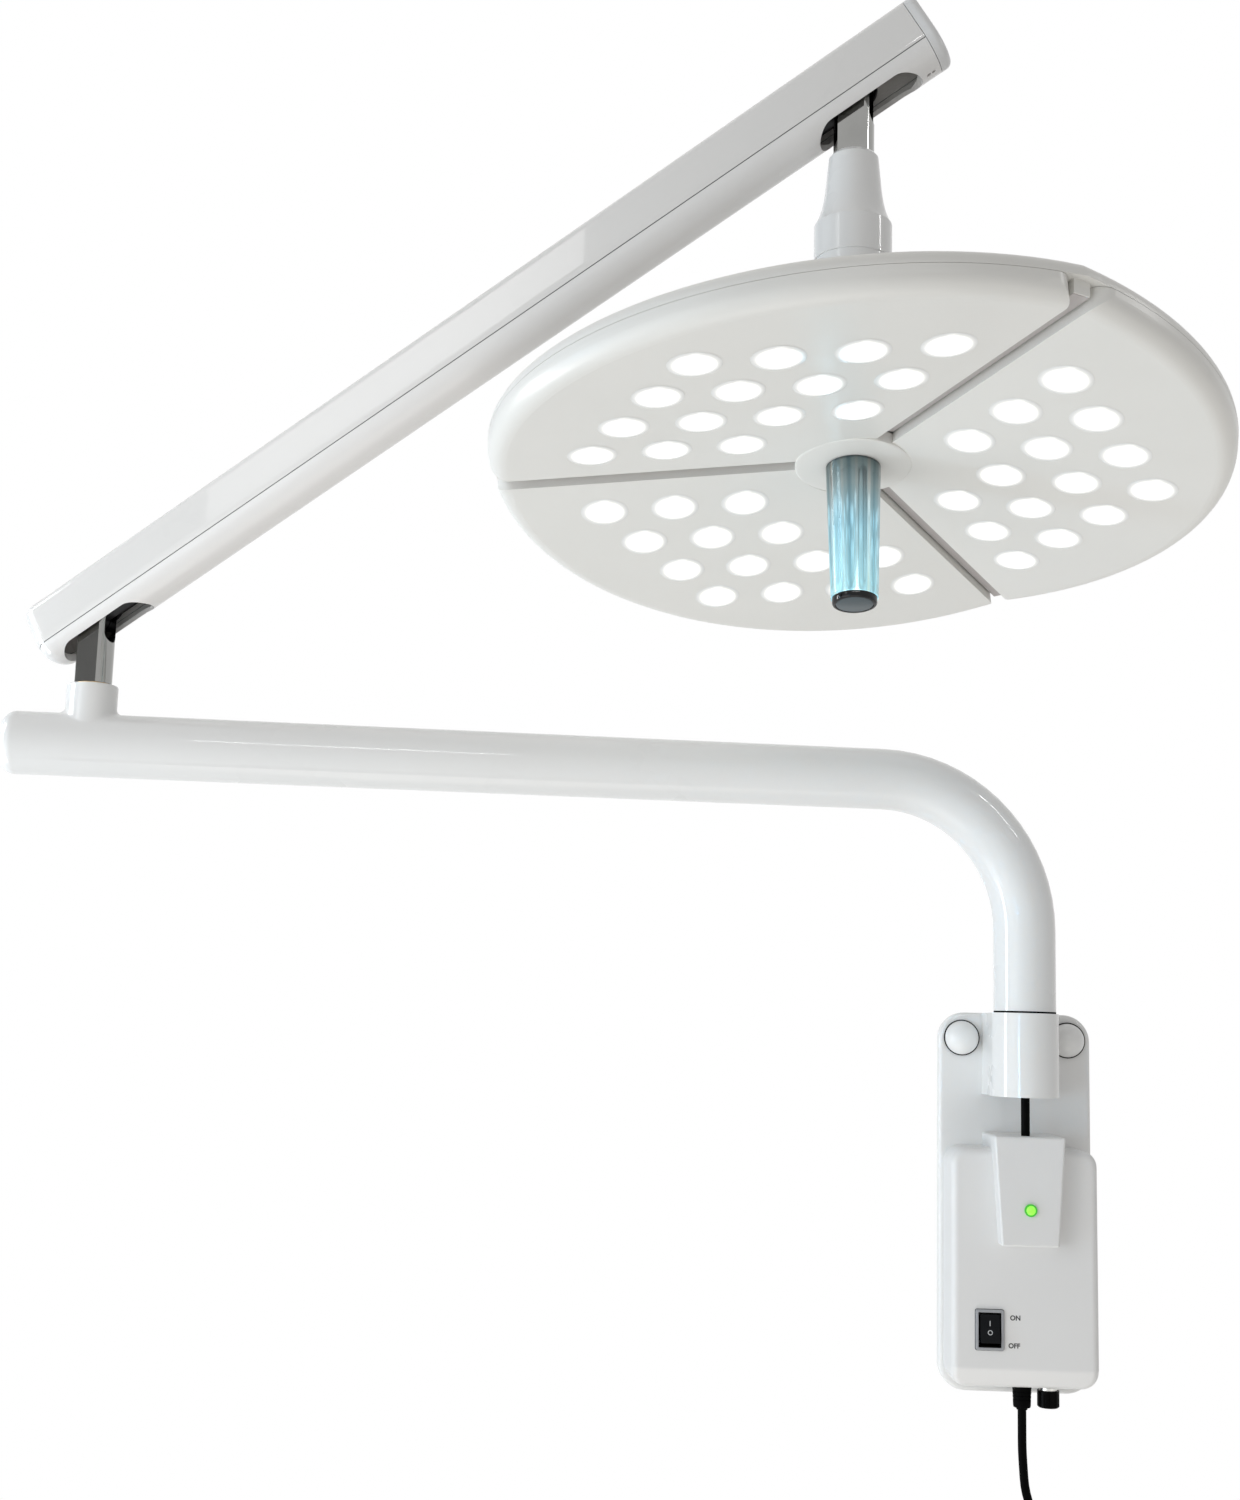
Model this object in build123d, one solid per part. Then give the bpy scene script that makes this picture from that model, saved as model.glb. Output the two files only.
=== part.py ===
"""Wall-mounted operating light: a swing arm, a balanced spring arm and a three-lobed lamp head.

Millimetres. The wall is the plane Y = 0 and the light stands out of it towards -Y, with +Z up.
The origin is the centre of the four wall bolts, on the wall. Every piece is written in the frame
of the link that carries it and placed by that link's rest pose.
"""

import math
import os

from build123d import *

os.makedirs("parts", exist_ok=True)

# ---- Running and seating clearances -------------------------------------------------
RUNNING = 0.05          # radial play of a shaft in its bush
SEAT = 0.3              # gap between pieces that lie against each other
OPEN_PIVOT = 0.6        # radial play of the one pivot that stays open in the parallelogram

# ---- Wall plate ----------------------------------------------------------------------
PLATE_WIDTH = 126.0
PLATE_HEIGHT = 306.0
PLATE_DEPTH = 10.0
PLATE_CORNER_R = 22.0
PLATE_EDGE_R = 3.0
BOLT_SPACING_X = 88.0
BOLT_SPACING_Z = 230.0
BOLT_HOLE_R = 5.3
BOLT_TO_PLATE_TOP = 21.0
CAP_R = 14.0
CAP_HEIGHT = 13.0
CAP_WALL = 2.0
CAP_RING_R = 14.8
CAP_RING_DEPTH = 1.5

# ---- Swivel block and swing arm ------------------------------------------------------
SWIVEL_FROM_WALL = 56.0
BLOCK_R = 27.0
BLOCK_HEIGHT = 67.0
BLOCK_SCREW_R = 2.5
BLOCK_SCREW_HEAD_R = 4.4
BLOCK_SCREW_HEAD = 5.0
BLOCK_SCREW_X = 34.0
BLOCK_SCREW_Z = 36.0
BLOCK_SCREW_LENGTH = 18.0
SPINDLE_R = 15.0
SPINDLE_BORE_R = 7.0
SPINDLE_PLUG = 30.0
BUSH_WALL = 2.5
SWIVEL_BUSH_HEIGHT = 22.0
CLIP_THICKNESS = 1.5
CLIP_RIM = 3.0
CLIP_GROOVE = 1.4
CLIP_POCKET = 6.0
CLIP_POCKET_R = 20.0
WASHER_THICKNESS = 1.2
TUBE_R = 25.0
TUBE_WALL = 2.5
TUBE_BEND_R = 100.0
TUBE_AXIS_RISE = 188.0  # from the top of the swivel block to the horizontal run
SWING_REACH = 760.0
TUBE_TAIL = 54.0
TUBE_CAP_LENGTH = 12.0
TUBE_CAP_PLUG = 14.0
SWING_REST = 7.5        # degrees between the arm and the wall at rest

# ---- Posts (both ends of the spring arm) ---------------------------------------------
POST_R = 14.5
POST_FLATS = 22.0
POST_SLOT = 15.0
POST_SLOT_DEPTH = 33.5  # below the main pivot
JOURNAL_R = 10.0
JOURNAL_LENGTH = 68.0
POST_BUSH_FLANGE = 1.0
POST_BUSH_LENGTH = 46.0
BOSS_R = 19.8
BOSS_HEIGHT = 48.0      # above the tube's axis
BOSS_FILLET = 5.0
JOURNAL_TAIL = 1.5      # of the journal, beyond its clip
CLIP_BORE_PLAY = 1.0
LOWER_PIVOT_RISE = 116.0
PIVOT_PIN_R = 4.0
TIE_PIN_R = 2.5
TIE_OFFSET = 14.0       # the tie rod's pivots lie this far below the beam's

# ---- Spring arm ----------------------------------------------------------------------
ARM_LENGTH = 703.0      # pivot to pivot
ARM_ABOVE = 21.5        # from the centre line up to the top face
ARM_BELOW = 28.5
ARM_WIDTH = 44.0
ARM_TOP_R = 7.0
ARM_LOW_R = 20.0
ARM_LEAST_R = 4.0       # of a top corner where the section gets smaller
ARM_WALL = 2.5
ARM_TAIL = 58.0         # beyond the lower pivot
ARM_NOSE = 55.0         # beyond the upper pivot, to the end cap
ARM_END_R = 13.0
ARM_END_STEPS = 8
ARM_SEAM_DROP = 14.0    # the shells part this far below the centre line
SEAM_GAP = 0.4
ARM_CAP_LENGTH = 9.0
ARM_CAP_EDGE_R = 5.0
ARM_CAP_SPIGOT = 13.0
ARM_SLOT_BACK = 44.0    # from the pivot towards the lower end
ARM_SLOT_FRONT = 40.0
ARM_SLOT_R = 16.0
ARM_LIP = 1.8
ARM_LIP_RISE = 7.0
ARM_AZIMUTH = -17.5     # degrees, seen from above, against +X
ARM_RISE = 30.0         # degrees above the horizontal at rest
ARM_HIGHEST = 39.5
CAP_SCREW_R = 1.6
CAP_SCREW_SPACING = 4.0
CAP_SCREW_LENGTH = 6.0
CAP_SCREW_IN = 7.5      # the middle of the pair, from the shells' end
CAP_SCREW_SINK = 2.0
BEAM_WALL = 3.0
BEAM_SIDE_PLAY = 0.6
BEAM_END_R = 14.0
BEAM_DEPTH = 12.0       # the cheeks reach this far below the centre line
BEAM_WEB_IN = 22.0
TIE_HEIGHT = 8.0
TIE_WIDTH = 10.0
TIE_EYE_R = 6.5
TIE_EYE_WIDTH = 14.0
COLLAR_AT = 150.0
COLLAR_R = 9.4
COLLAR_LENGTH = 8.0
SPRING_SEAT_AT = 430.0
SPRING_SEAT_LENGTH = 8.0
SPRING_R = 9.6
SPRING_BORE_R = 6.8
SEAT_WINDOW_PLAY = 1.6

# ---- Neck ----------------------------------------------------------------------------
NECK_TOP_DROP = 56.5    # below the upper pivot
NECK_TOP_R = 17.7
NECK_MID_R = 20.0
NECK_MID_DROP = 83.0
NECK_COLLAR_R = 27.5
NECK_COLLAR_DROP = 110.0
NECK_COLLAR_END = 136.0
SPIGOT_R = 16.0
YOKE_R = 26.5
YOKE_END_DROP = 152.0
TILT_DROP = 200.0
CHEEK_THICKNESS = 8.3
CHEEK_HALF_WIDTH = 17.0
KNUCKLE_WIDTH = 26.0
TILT_WASHER = 1.0
TILT_PIN_R = 6.0
TILT_PIN_HEAD_R = 9.0
TILT_PIN_HEAD = 2.5
NECK_BUSH_LENGTH = 56.0

# ---- Lamp head -----------------------------------------------------------------------
HEAD_TILT_REST = -10.0  # degrees about +X
HUB_FACE_DROP = 88.0    # from the tilt axis to the middle of the face
LOBE_COUNT = 3
CHANNEL_AZIMUTH = 176.0
DISH_R = 250.0
LOBE_TILT = 7.125       # each flat lobe leans in to aim at the same spot
LOBE_THICKNESS = 27.0
PANEL_DEPTH = 16.0
DISH_WALL = 2.5
DISH_FRONT_R = 12.0
DISH_BACK_R = 10.0
LOBE_CORNER_R = 12.0
CHANNEL_WIDTH = 12.0
CHANNEL_DEPTH = 7.0
HUB_R = 40.0
HUB_FACE_STEP = 4.8
HUB_DISC_THICKNESS = 11.0
LENS_PITCH = 50.2
LENS_ROWS = 4
LENS_HOLE_R = 15.0
LENS_BACK_R = 9.0
LENS_RECESS = 0.6
BOARD_THICKNESS = 1.6
BOARD_LAND = 6.0            # the housing's edge that the boards lie on
BACK_BOSS_R = 64.0
BACK_BOSS_RISE = 1.5
HUB_FLANGE_R = 60.0
HUB_FLANGE_THICKNESS = 7.0
HUB_SPIGOT_R = 20.0
HUB_NECK_R = 15.0
KNUCKLE_R = 16.0
STEM_R = 8.0
STEM_INTO_HUB = 22.0
GRIP_TOP_R = 18.8
GRIP_END_R = 16.0
GRIP_LENGTH = 98.0
GRIP_BORE_DEPTH = 80.0
GRIP_FLUTES = 12
GRIP_FLUTE_R = 3.4
GRIP_FLUTE_DEPTH = 1.1
GRIP_CAP_THICKNESS = 4.5
GRIP_CAP_EDGE_R = 1.5

# ---- Power unit ----------------------------------------------------------------------
COVER_WIDTH = 118.0
COVER_HEIGHT = 187.0
COVER_BOTTOM_MARGIN = 10.0   # above the bottom of the plate
COVER_FRONT = 52.0           # from the wall
COVER_CORNER_R = 13.0
COVER_EDGE_R = 6.0
COVER_WALL = 2.5
COVER_SLOPE_HEIGHT = 15.0
COVER_SLOPE_DEPTH = 8.0
COVER_SCREW_R = 1.5
COVER_SCREW_HEAD_R = 2.8
COVER_SCREW_HEAD = 1.5
COVER_SCREW_X = 40.0         # either side of the middle
COVER_SCREW_DEPTH = 20.0     # from the wall
LUG_SIZE = 10.0
HOOK_LIP = 4.0
HOOK_NECK = 5.0
TAB_SIZE = (8.0, 4.0, 3.7)
HOOD_X = 1.5
HOOD_TOP_WIDTH = 57.0
HOOD_BOTTOM_WIDTH = 46.0
HOOD_HEIGHT = 86.0
HOOD_RISE = 11.0             # above the cover
HOOD_FRONT = 68.0
HOOD_WALL = 2.2
HOOD_EDGE_R = 2.0
LEAD_R = 3.5
LEAD_HOLE_R = 3.8
LEAD_UP = 60.0               # inside the spindle
LEAD_INTO_HOOD = 24.0
CONNECTOR_SIZE = (18.0, 11.0, 14.0)
INDICATOR_DROP = 57.5        # below the top of the hood
INDICATOR_R = 5.0
INDICATOR_RISE = 1.6
INDICATOR_LENS_R = 3.6
INDICATOR_LENS_RISE = 1.4
SWITCH_X = -28.6
SWITCH_RISE = 45.3           # above the bottom of the cover
SWITCH_FLANGE = (22.6, 31.5)
SWITCH_FLANGE_THICKNESS = 2.0
SWITCH_BODY = (19.0, 28.0)
SWITCH_BODY_DEPTH = 20.0
SWITCH_OPENING = (16.0, 25.0)
SWITCH_OPENING_DEPTH = 15.0
ROCKER_PLAY = 0.3
ROCKER_HALF_LENGTH = 11.0
ROCKER_END_RISE = 9.0
ROCKER_MIDDLE_RISE = 7.4
ROCKER_PIVOT_DEPTH = 7.0     # behind the flange's face
ROCKER_PIVOT_R = 1.2
ROCKER_PIVOT_IN = 1.0
ROCKER_REST = 8.0            # degrees: the ON end is pressed in
DRIVER_SIZE = (80.0, 110.0, 27.0)
DRIVER_X = 5.0
DRIVER_TOP_MARGIN = 12.0
FITTINGS_FROM_WALL = 35.0    # the knob's and the gland's axes
DIMMER_X = 21.0
DIMMER_BODY_R = 8.5
DIMMER_BODY_HEIGHT = 11.0
DIMMER_SPACER_R = 4.2
DIMMER_SPACER = 6.0
DIMMER_SLEEVE_R = 3.5
DIMMER_SLEEVE_DROP = 3.5
DIMMER_SHAFT_R = 2.6
DIMMER_NUT_R = 7.0
DIMMER_NUT_THICKNESS = 2.2
KNOB_R = 8.75
KNOB_HEIGHT = 13.0
KNOB_GAP = 0.4
KNOB_RECESS_R = 4.4
KNOB_TOP_WALL = 3.0
KNOB_GRIPS = 12
KNOB_GRIP_R = 0.9
GLAND_R = 7.2
GLAND_END_R = 5.0
GLAND_LENGTH = 18.0
GLAND_COLLAR = 3.0
GLAND_INSIDE = 6.0
GLAND_HOLE_R = 6.0
GLAND_RIBS = 4
GLAND_RIB_STEP = 0.6

# ---- Mains cord ----------------------------------------------------------------------
CORD_R = 3.5
COIL_CENTRE = (-20.0, -318.0)   # X and Z
COIL_OUTER_R = 44.3             # middle of the tube, outermost turn
COIL_PITCH = 7.9                # between turns and between layers
COIL_LAYERS = 4
COIL_LEG = 1.75                 # turns in each layer, from one reversal to the next
COIL_CLIMB = 0.25               # half the climb from layer to layer, in turns
PLUG_BODY = (26.0, 16.0, 40.0)
PLUG_EDGE_R = 4.0
PLUG_PIN_R = 2.4
PLUG_PIN_LENGTH = 19.0
PLUG_PIN_SPACING = 19.0
PLUG_BACK = 3.9                 # the plug lies this far in front of the coil's last layer
TIE_BAND_WIDTH = 9.0
TIE_BAND_THICKNESS = 1.6


# ---- Places worked out from the sizes ------------------------------------------------
plate_top = BOLT_SPACING_Z / 2 + BOLT_TO_PLATE_TOP
plate_bottom = plate_top - PLATE_HEIGHT
cover_bottom = plate_bottom + COVER_BOTTOM_MARGIN
cover_top = cover_bottom + COVER_HEIGHT
block_top = plate_top
block_bottom = block_top - BLOCK_HEIGHT
tube_start = block_top + WASHER_THICKNESS + SEAT
journal_low = BOSS_HEIGHT + POST_BUSH_FLANGE + SEAT - JOURNAL_LENGTH
boss_low = journal_low + JOURNAL_TAIL + CLIP_THICKNESS + SEAT
board_at = PANEL_DEPTH - BOARD_THICKNESS
tube_axis_z = block_top + TUBE_AXIS_RISE

wall_front = Rotation(90, 0, 0)                 # local X, Y, Z become X, Z and out of the wall
swing_frame = Pos(0, -SWIVEL_FROM_WALL, 0) * Rotation(0, 0, 180 + SWING_REST)
lower_post_frame = swing_frame * Pos(SWING_REACH, 0, tube_axis_z)
lower_post_frame = Location(lower_post_frame.position, (0, 0, ARM_AZIMUTH))
arm_frame = lower_post_frame * Pos(0, 0, LOWER_PIVOT_RISE) * Rotation(0, -ARM_RISE, 0)
tie_frame = lower_post_frame * Pos(0, 0, LOWER_PIVOT_RISE - TIE_OFFSET) * Rotation(0, -ARM_RISE, 0)
upper_pivot = arm_frame * Pos(ARM_LENGTH, 0, 0)
upper_post_frame = Location(upper_pivot.position, (0, 0, ARM_AZIMUTH))
neck_frame = Location(upper_pivot.position)
tilt_frame = neck_frame * Pos(0, 0, -TILT_DROP) * Rotation(HEAD_TILT_REST, 0, 0)
head_frame = tilt_frame * Pos(0, 0, -HUB_FACE_DROP)


def keep(name, frame, *pieces):
    """Place the pieces of one node in their link's frame and write them to one file."""
    placed = [frame * piece for piece in pieces]
    shape = placed[0] if len(placed) == 1 else Compound(children=placed)
    export_step(shape, f"parts/{name}.step")


def rod(radius, low, high):
    """A cylinder about Z between two heights."""
    return Pos(0, 0, (low + high) / 2) * Cylinder(radius, high - low)


def ring(outer, inner, low, high):
    """A plain tube about Z between two heights."""
    return rod(outer, low, high) - rod(inner, low - 1, high + 1)


def block(x, y, z):
    """A box given by its low and high place along each axis."""
    middle = Pos(sum(x) / 2, sum(y) / 2, sum(z) / 2)
    return middle * Box(x[1] - x[0], y[1] - y[0], z[1] - z[0])


def cross_rod(radius, half_length, z=0.0):
    """A cylinder along Y, centred on the link's own plane."""
    return Pos(0, 0, z) * Rotation(90, 0, 0) * Cylinder(radius, 2 * half_length)


def long_rod(radius, start, end):
    """A cylinder along X between two places."""
    return Rotation(0, 90, 0) * rod(radius, start, end)


def spin_profile(*points):
    """Turn a closed outline of (radius, height) points about Z."""
    outline = make_face(Plane.XZ * Polyline(*points, close=True))
    return revolve(outline, Axis.Z)


# ---- Wall unit -----------------------------------------------------------------------
def bolt_places():
    return [(sx * BOLT_SPACING_X / 2, sz * BOLT_SPACING_Z / 2) for sx in (-1, 1) for sz in (-1, 1)]


def block_screw_places():
    middle = (block_top + block_bottom) / 2
    return [(sx * BLOCK_SCREW_X / 2, middle + sz * BLOCK_SCREW_Z / 2) for sx in (-1, 1) for sz in (-1, 1)]


def upright_rod(radius, x, depth, low, high):
    """A cylinder up the wall, in the wall's own frame."""
    return Pos(x, (low + high) / 2, depth) * Rotation(90, 0, 0) * Cylinder(radius, high - low)


def cover_lug(x):
    """The foot of the plate that takes one of the cover's screws."""
    low = cover_bottom + COVER_WALL + SEAT
    half = LUG_SIZE / 2
    lug = block((x - half, x + half), (low, low + LUG_SIZE), (PLATE_DEPTH - 1, COVER_SCREW_DEPTH + half))
    return lug - upright_rod(COVER_SCREW_R, x, COVER_SCREW_DEPTH, low - 1, low + LUG_SIZE + 1)


def cover_hook(x):
    """The hook of the plate that holds the top of the cover."""
    high = cover_top - COVER_WALL - SEAT
    low = high - LUG_SIZE
    wide = (x - LUG_SIZE / 2, x + LUG_SIZE / 2)
    front = COVER_SCREW_DEPTH
    neck = block(wide, (low, low + HOOK_NECK), (PLATE_DEPTH - 1, front))
    return neck + block(wide, (low, high), (front - HOOK_LIP, front))


def wall_plate():
    outline = RectangleRounded(PLATE_WIDTH, PLATE_HEIGHT, PLATE_CORNER_R)
    plate = extrude(Pos(0, plate_top - PLATE_HEIGHT / 2) * outline, PLATE_DEPTH)
    plate = fillet(plate.faces().sort_by(Axis.Z)[-1].edges(), PLATE_EDGE_R)
    for x, z in bolt_places():
        plate -= Pos(x, z) * rod(BOLT_HOLE_R, -1, PLATE_DEPTH + 1)
    for x, z in block_screw_places():
        plate -= Pos(x, z) * rod(BLOCK_SCREW_R, -1, PLATE_DEPTH + 1)
        plate -= Pos(x, z) * rod(BLOCK_SCREW_HEAD_R, -1, BLOCK_SCREW_HEAD)
    for x in (-COVER_SCREW_X, COVER_SCREW_X):
        plate += cover_lug(x)
        plate += cover_hook(x)
    return plate


def swivel_block():
    depth = SWIVEL_FROM_WALL - PLATE_DEPTH
    plan = Pos(0, -SWIVEL_FROM_WALL) * Circle(BLOCK_R)
    plan += Pos(0, -PLATE_DEPTH - depth / 2) * Rectangle(2 * BLOCK_R, depth)
    body = Pos(0, 0, block_bottom) * extrude(plan, BLOCK_HEIGHT)
    axis = Pos(0, -SWIVEL_FROM_WALL, 0)
    body -= axis * rod(SPINDLE_R + RUNNING + BUSH_WALL, block_bottom - 1, block_top + 1)
    body -= axis * rod(CLIP_POCKET_R, block_bottom - 1, block_bottom + CLIP_POCKET)
    for x, z in block_screw_places():
        tapped = Pos(x, z) * rod(BLOCK_SCREW_R, PLATE_DEPTH - 1, BLOCK_SCREW_LENGTH + BLOCK_SCREW_HEAD)
        body -= wall_front * tapped
    return body


def swivel_bush(low):
    return ring(SPINDLE_R + RUNNING + BUSH_WALL, SPINDLE_R + RUNNING, low, low + SWIVEL_BUSH_HEIGHT)


def block_screw(x, z):
    head = rod(BLOCK_SCREW_HEAD_R, SEAT, BLOCK_SCREW_HEAD)
    return Pos(x, z) * (head + rod(BLOCK_SCREW_R, SEAT, BLOCK_SCREW_HEAD + BLOCK_SCREW_LENGTH))


def bolt_cap(x, z):
    foot = PLATE_DEPTH + CAP_RING_DEPTH
    dome_r = (CAP_R**2 + CAP_HEIGHT**2) / (2 * CAP_HEIGHT)
    outside = Pos(0, 0, CAP_HEIGHT - dome_r) * Sphere(dome_r) & rod(CAP_R, 0, CAP_HEIGHT + 1)
    inside = Pos(0, 0, CAP_HEIGHT - dome_r) * Sphere(dome_r - CAP_WALL)
    inside &= rod(CAP_R - CAP_WALL, -1, CAP_HEIGHT)
    return Pos(x, z, foot) * (outside - inside)


def cap_ring(x, z):
    return Pos(x, z) * ring(CAP_RING_R, CAP_R - CAP_WALL, PLATE_DEPTH, PLATE_DEPTH + CAP_RING_DEPTH)


def cover_block(shrink):
    """The power cover's outside, or its inside when shrunk by the wall."""
    width = COVER_WIDTH - 2 * shrink
    height = COVER_HEIGHT - 2 * shrink
    middle = (cover_bottom + cover_top) / 2
    outline = Pos(0, middle) * RectangleRounded(width, height, COVER_CORNER_R - shrink)
    front = COVER_FRONT - shrink
    body = Pos(0, 0, PLATE_DEPTH) * extrude(outline, front - PLATE_DEPTH)
    low = cover_bottom + shrink
    slope = Polyline(
        (low - 1, front - COVER_SLOPE_DEPTH),
        (low, front - COVER_SLOPE_DEPTH),
        (low + COVER_SLOPE_HEIGHT, front),
        (low + COVER_SLOPE_HEIGHT, front + 1),
        (low - 1, front + 1),
        close=True,
    )
    wedge = extrude(Plane.YZ * make_face(slope), COVER_WIDTH, both=True)
    body -= wedge
    edges = [
        edge
        for edge in body.edges()
        if edge.center().Z > PLATE_DEPTH + 1 and edge.bounding_box().size.Z < COVER_FRONT / 2
    ]
    return fillet(edges, COVER_EDGE_R - shrink)


def hood_outline(shrink):
    top = cover_top + HOOD_RISE - shrink
    bottom = cover_top + HOOD_RISE - HOOD_HEIGHT + shrink
    half_top = HOOD_TOP_WIDTH / 2 - shrink
    half_bottom = HOOD_BOTTOM_WIDTH / 2 - shrink
    corners = [(-half_top, top), (half_top, top), (half_bottom, bottom), (-half_bottom, bottom)]
    return make_face(Polyline(*[(HOOD_X + x, z) for x, z in corners], close=True))


def lead_hood(cover_outside):
    shell = Pos(0, 0, PLATE_DEPTH) * extrude(hood_outline(0), HOOD_FRONT - PLATE_DEPTH)
    shell = fillet(shell.edges().filter_by(Axis.Z), HOOD_EDGE_R)
    shell = fillet(shell.faces().sort_by(Axis.Z)[-1].edges(), HOOD_EDGE_R)
    hollow = extrude(hood_outline(HOOD_WALL), HOOD_FRONT - PLATE_DEPTH - HOOD_WALL + 1)
    shell -= Pos(0, 0, PLATE_DEPTH - 1) * hollow
    shell -= cover_outside
    top = cover_top + HOOD_RISE
    shell -= upright_rod(LEAD_HOLE_R, 0, SWIVEL_FROM_WALL, top - 2 * HOOD_WALL, top + 1)
    lamp = rod(INDICATOR_LENS_R, HOOD_FRONT - 2 * HOOD_WALL, HOOD_FRONT + 1)
    return shell - Pos(HOOD_X, top - INDICATOR_DROP) * lamp


def power_cover(outside):
    shell = outside - Pos(0, 0, -0.01) * cover_block(COVER_WALL)
    shell -= block(
        (-COVER_WIDTH, COVER_WIDTH), (plate_bottom, cover_top + 1), (PLATE_DEPTH - 1, PLATE_DEPTH)
    )
    window_z = cover_top + HOOD_RISE - INDICATOR_DROP
    shell -= Pos(HOOD_X, window_z) * rod(INDICATOR_R + 1, COVER_FRONT - 2 * COVER_WALL, COVER_FRONT + 1)
    body = Pos(SWITCH_X, cover_bottom + SWITCH_RISE, COVER_FRONT) * Box(
        SWITCH_BODY[0] + SEAT, SWITCH_BODY[1] + SEAT, 4 * COVER_WALL
    )
    shell -= body
    for x, radius in ((0, GLAND_HOLE_R), (DIMMER_X, DIMMER_SLEEVE_R + SEAT / 2)):
        through = (cover_bottom - 1, cover_bottom + 2 * COVER_WALL)
        shell -= upright_rod(radius, x, FITTINGS_FROM_WALL, *through)
    wide, tall, deep = TAB_SIZE
    inside_top = cover_top - COVER_WALL
    behind = COVER_SCREW_DEPTH - HOOK_LIP - SEAT
    for x in (-COVER_SCREW_X, COVER_SCREW_X):
        through = (cover_bottom - 1, cover_bottom + 2 * COVER_WALL)
        shell -= upright_rod(COVER_SCREW_R, x, COVER_SCREW_DEPTH, *through)
        tab_x = (x - wide / 2, x + wide / 2)
        shell += block(tab_x, (inside_top - tall, inside_top + 1), (behind - deep, behind))
    return shell


def cover_screw(x):
    end = cover_bottom + COVER_WALL + LUG_SIZE - 1
    shank = upright_rod(COVER_SCREW_R, x, COVER_SCREW_DEPTH, cover_bottom, end)
    under = cover_bottom - COVER_SCREW_HEAD
    return shank + upright_rod(COVER_SCREW_HEAD_R, x, COVER_SCREW_DEPTH, under, cover_bottom)


def indicator(top):
    place = Pos(HOOD_X, top - INDICATOR_DROP, HOOD_FRONT)
    bezel = place * ring(INDICATOR_R, INDICATOR_LENS_R, 0, INDICATOR_RISE)
    foot = rod(INDICATOR_LENS_R, -HOOD_WALL, INDICATOR_RISE)
    rise = INDICATOR_LENS_RISE
    dome_r = (INDICATOR_LENS_R**2 + rise**2) / (2 * rise)
    dome = Pos(0, 0, INDICATOR_RISE + rise - dome_r) * Sphere(dome_r)
    dome &= rod(INDICATOR_LENS_R, INDICATOR_RISE, INDICATOR_RISE + 2 * rise)
    return bezel, place * (foot + dome)


def switch_housing():
    place = Pos(SWITCH_X, cover_bottom + SWITCH_RISE, COVER_FRONT)
    flange = Pos(0, 0, SWITCH_FLANGE_THICKNESS / 2) * Box(*SWITCH_FLANGE, SWITCH_FLANGE_THICKNESS)
    flange = fillet(flange.edges().filter_by(Axis.Z), 1.5)
    flange = chamfer(flange.faces().sort_by(Axis.Z)[-1].edges(), 0.6)
    body = Pos(0, 0, -SWITCH_BODY_DEPTH / 2) * Box(*SWITCH_BODY, SWITCH_BODY_DEPTH)
    low = SWITCH_FLANGE_THICKNESS - SWITCH_OPENING_DEPTH
    well = Pos(0, 0, (low + SWITCH_FLANGE_THICKNESS + 1) / 2) * Box(
        *SWITCH_OPENING, SWITCH_FLANGE_THICKNESS + 1 - low
    )
    stub = ROCKER_PIVOT_R + RUNNING
    half = SWITCH_OPENING[0] / 2 + ROCKER_PIVOT_IN
    pivot = Pos(0, 0, SWITCH_FLANGE_THICKNESS - ROCKER_PIVOT_DEPTH) * long_rod(stub, -half, half)
    return place * (flange + body - well - pivot)


def switch_rocker():
    """Written about its pivot, then tipped so that the upper, ON end is pressed in."""
    end, rise, middle = ROCKER_HALF_LENGTH, ROCKER_END_RISE, ROCKER_MIDDLE_RISE
    side = Polyline((-end, rise), (0, middle), (end, rise), (end - 3, -2), (3 - end, -2), close=True)
    width = SWITCH_OPENING[0] - 2 * ROCKER_PLAY
    key = extrude(Plane.YZ * make_face(side), width / 2, both=True)
    half = SWITCH_OPENING[0] / 2 + ROCKER_PIVOT_IN - RUNNING
    key += long_rod(ROCKER_PIVOT_R, -half, half)
    depth = COVER_FRONT + SWITCH_FLANGE_THICKNESS - ROCKER_PIVOT_DEPTH
    return Pos(SWITCH_X, cover_bottom + SWITCH_RISE, depth) * Rotation(-ROCKER_REST, 0, 0) * key


def led_driver():
    width, height, depth = DRIVER_SIZE
    top = cover_top - COVER_WALL - DRIVER_TOP_MARGIN
    case = Pos(DRIVER_X, top - height / 2, PLATE_DEPTH + depth / 2) * Box(width, height, depth)
    case = fillet(case.edges().filter_by(Axis.Y), 3)
    return case


def hang(x):
    """Local Z points down out of the bottom of the power cover, at one of its fittings."""
    return Pos(x, -FITTINGS_FROM_WALL, cover_bottom) * Rotation(180, 0, 0)


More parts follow.
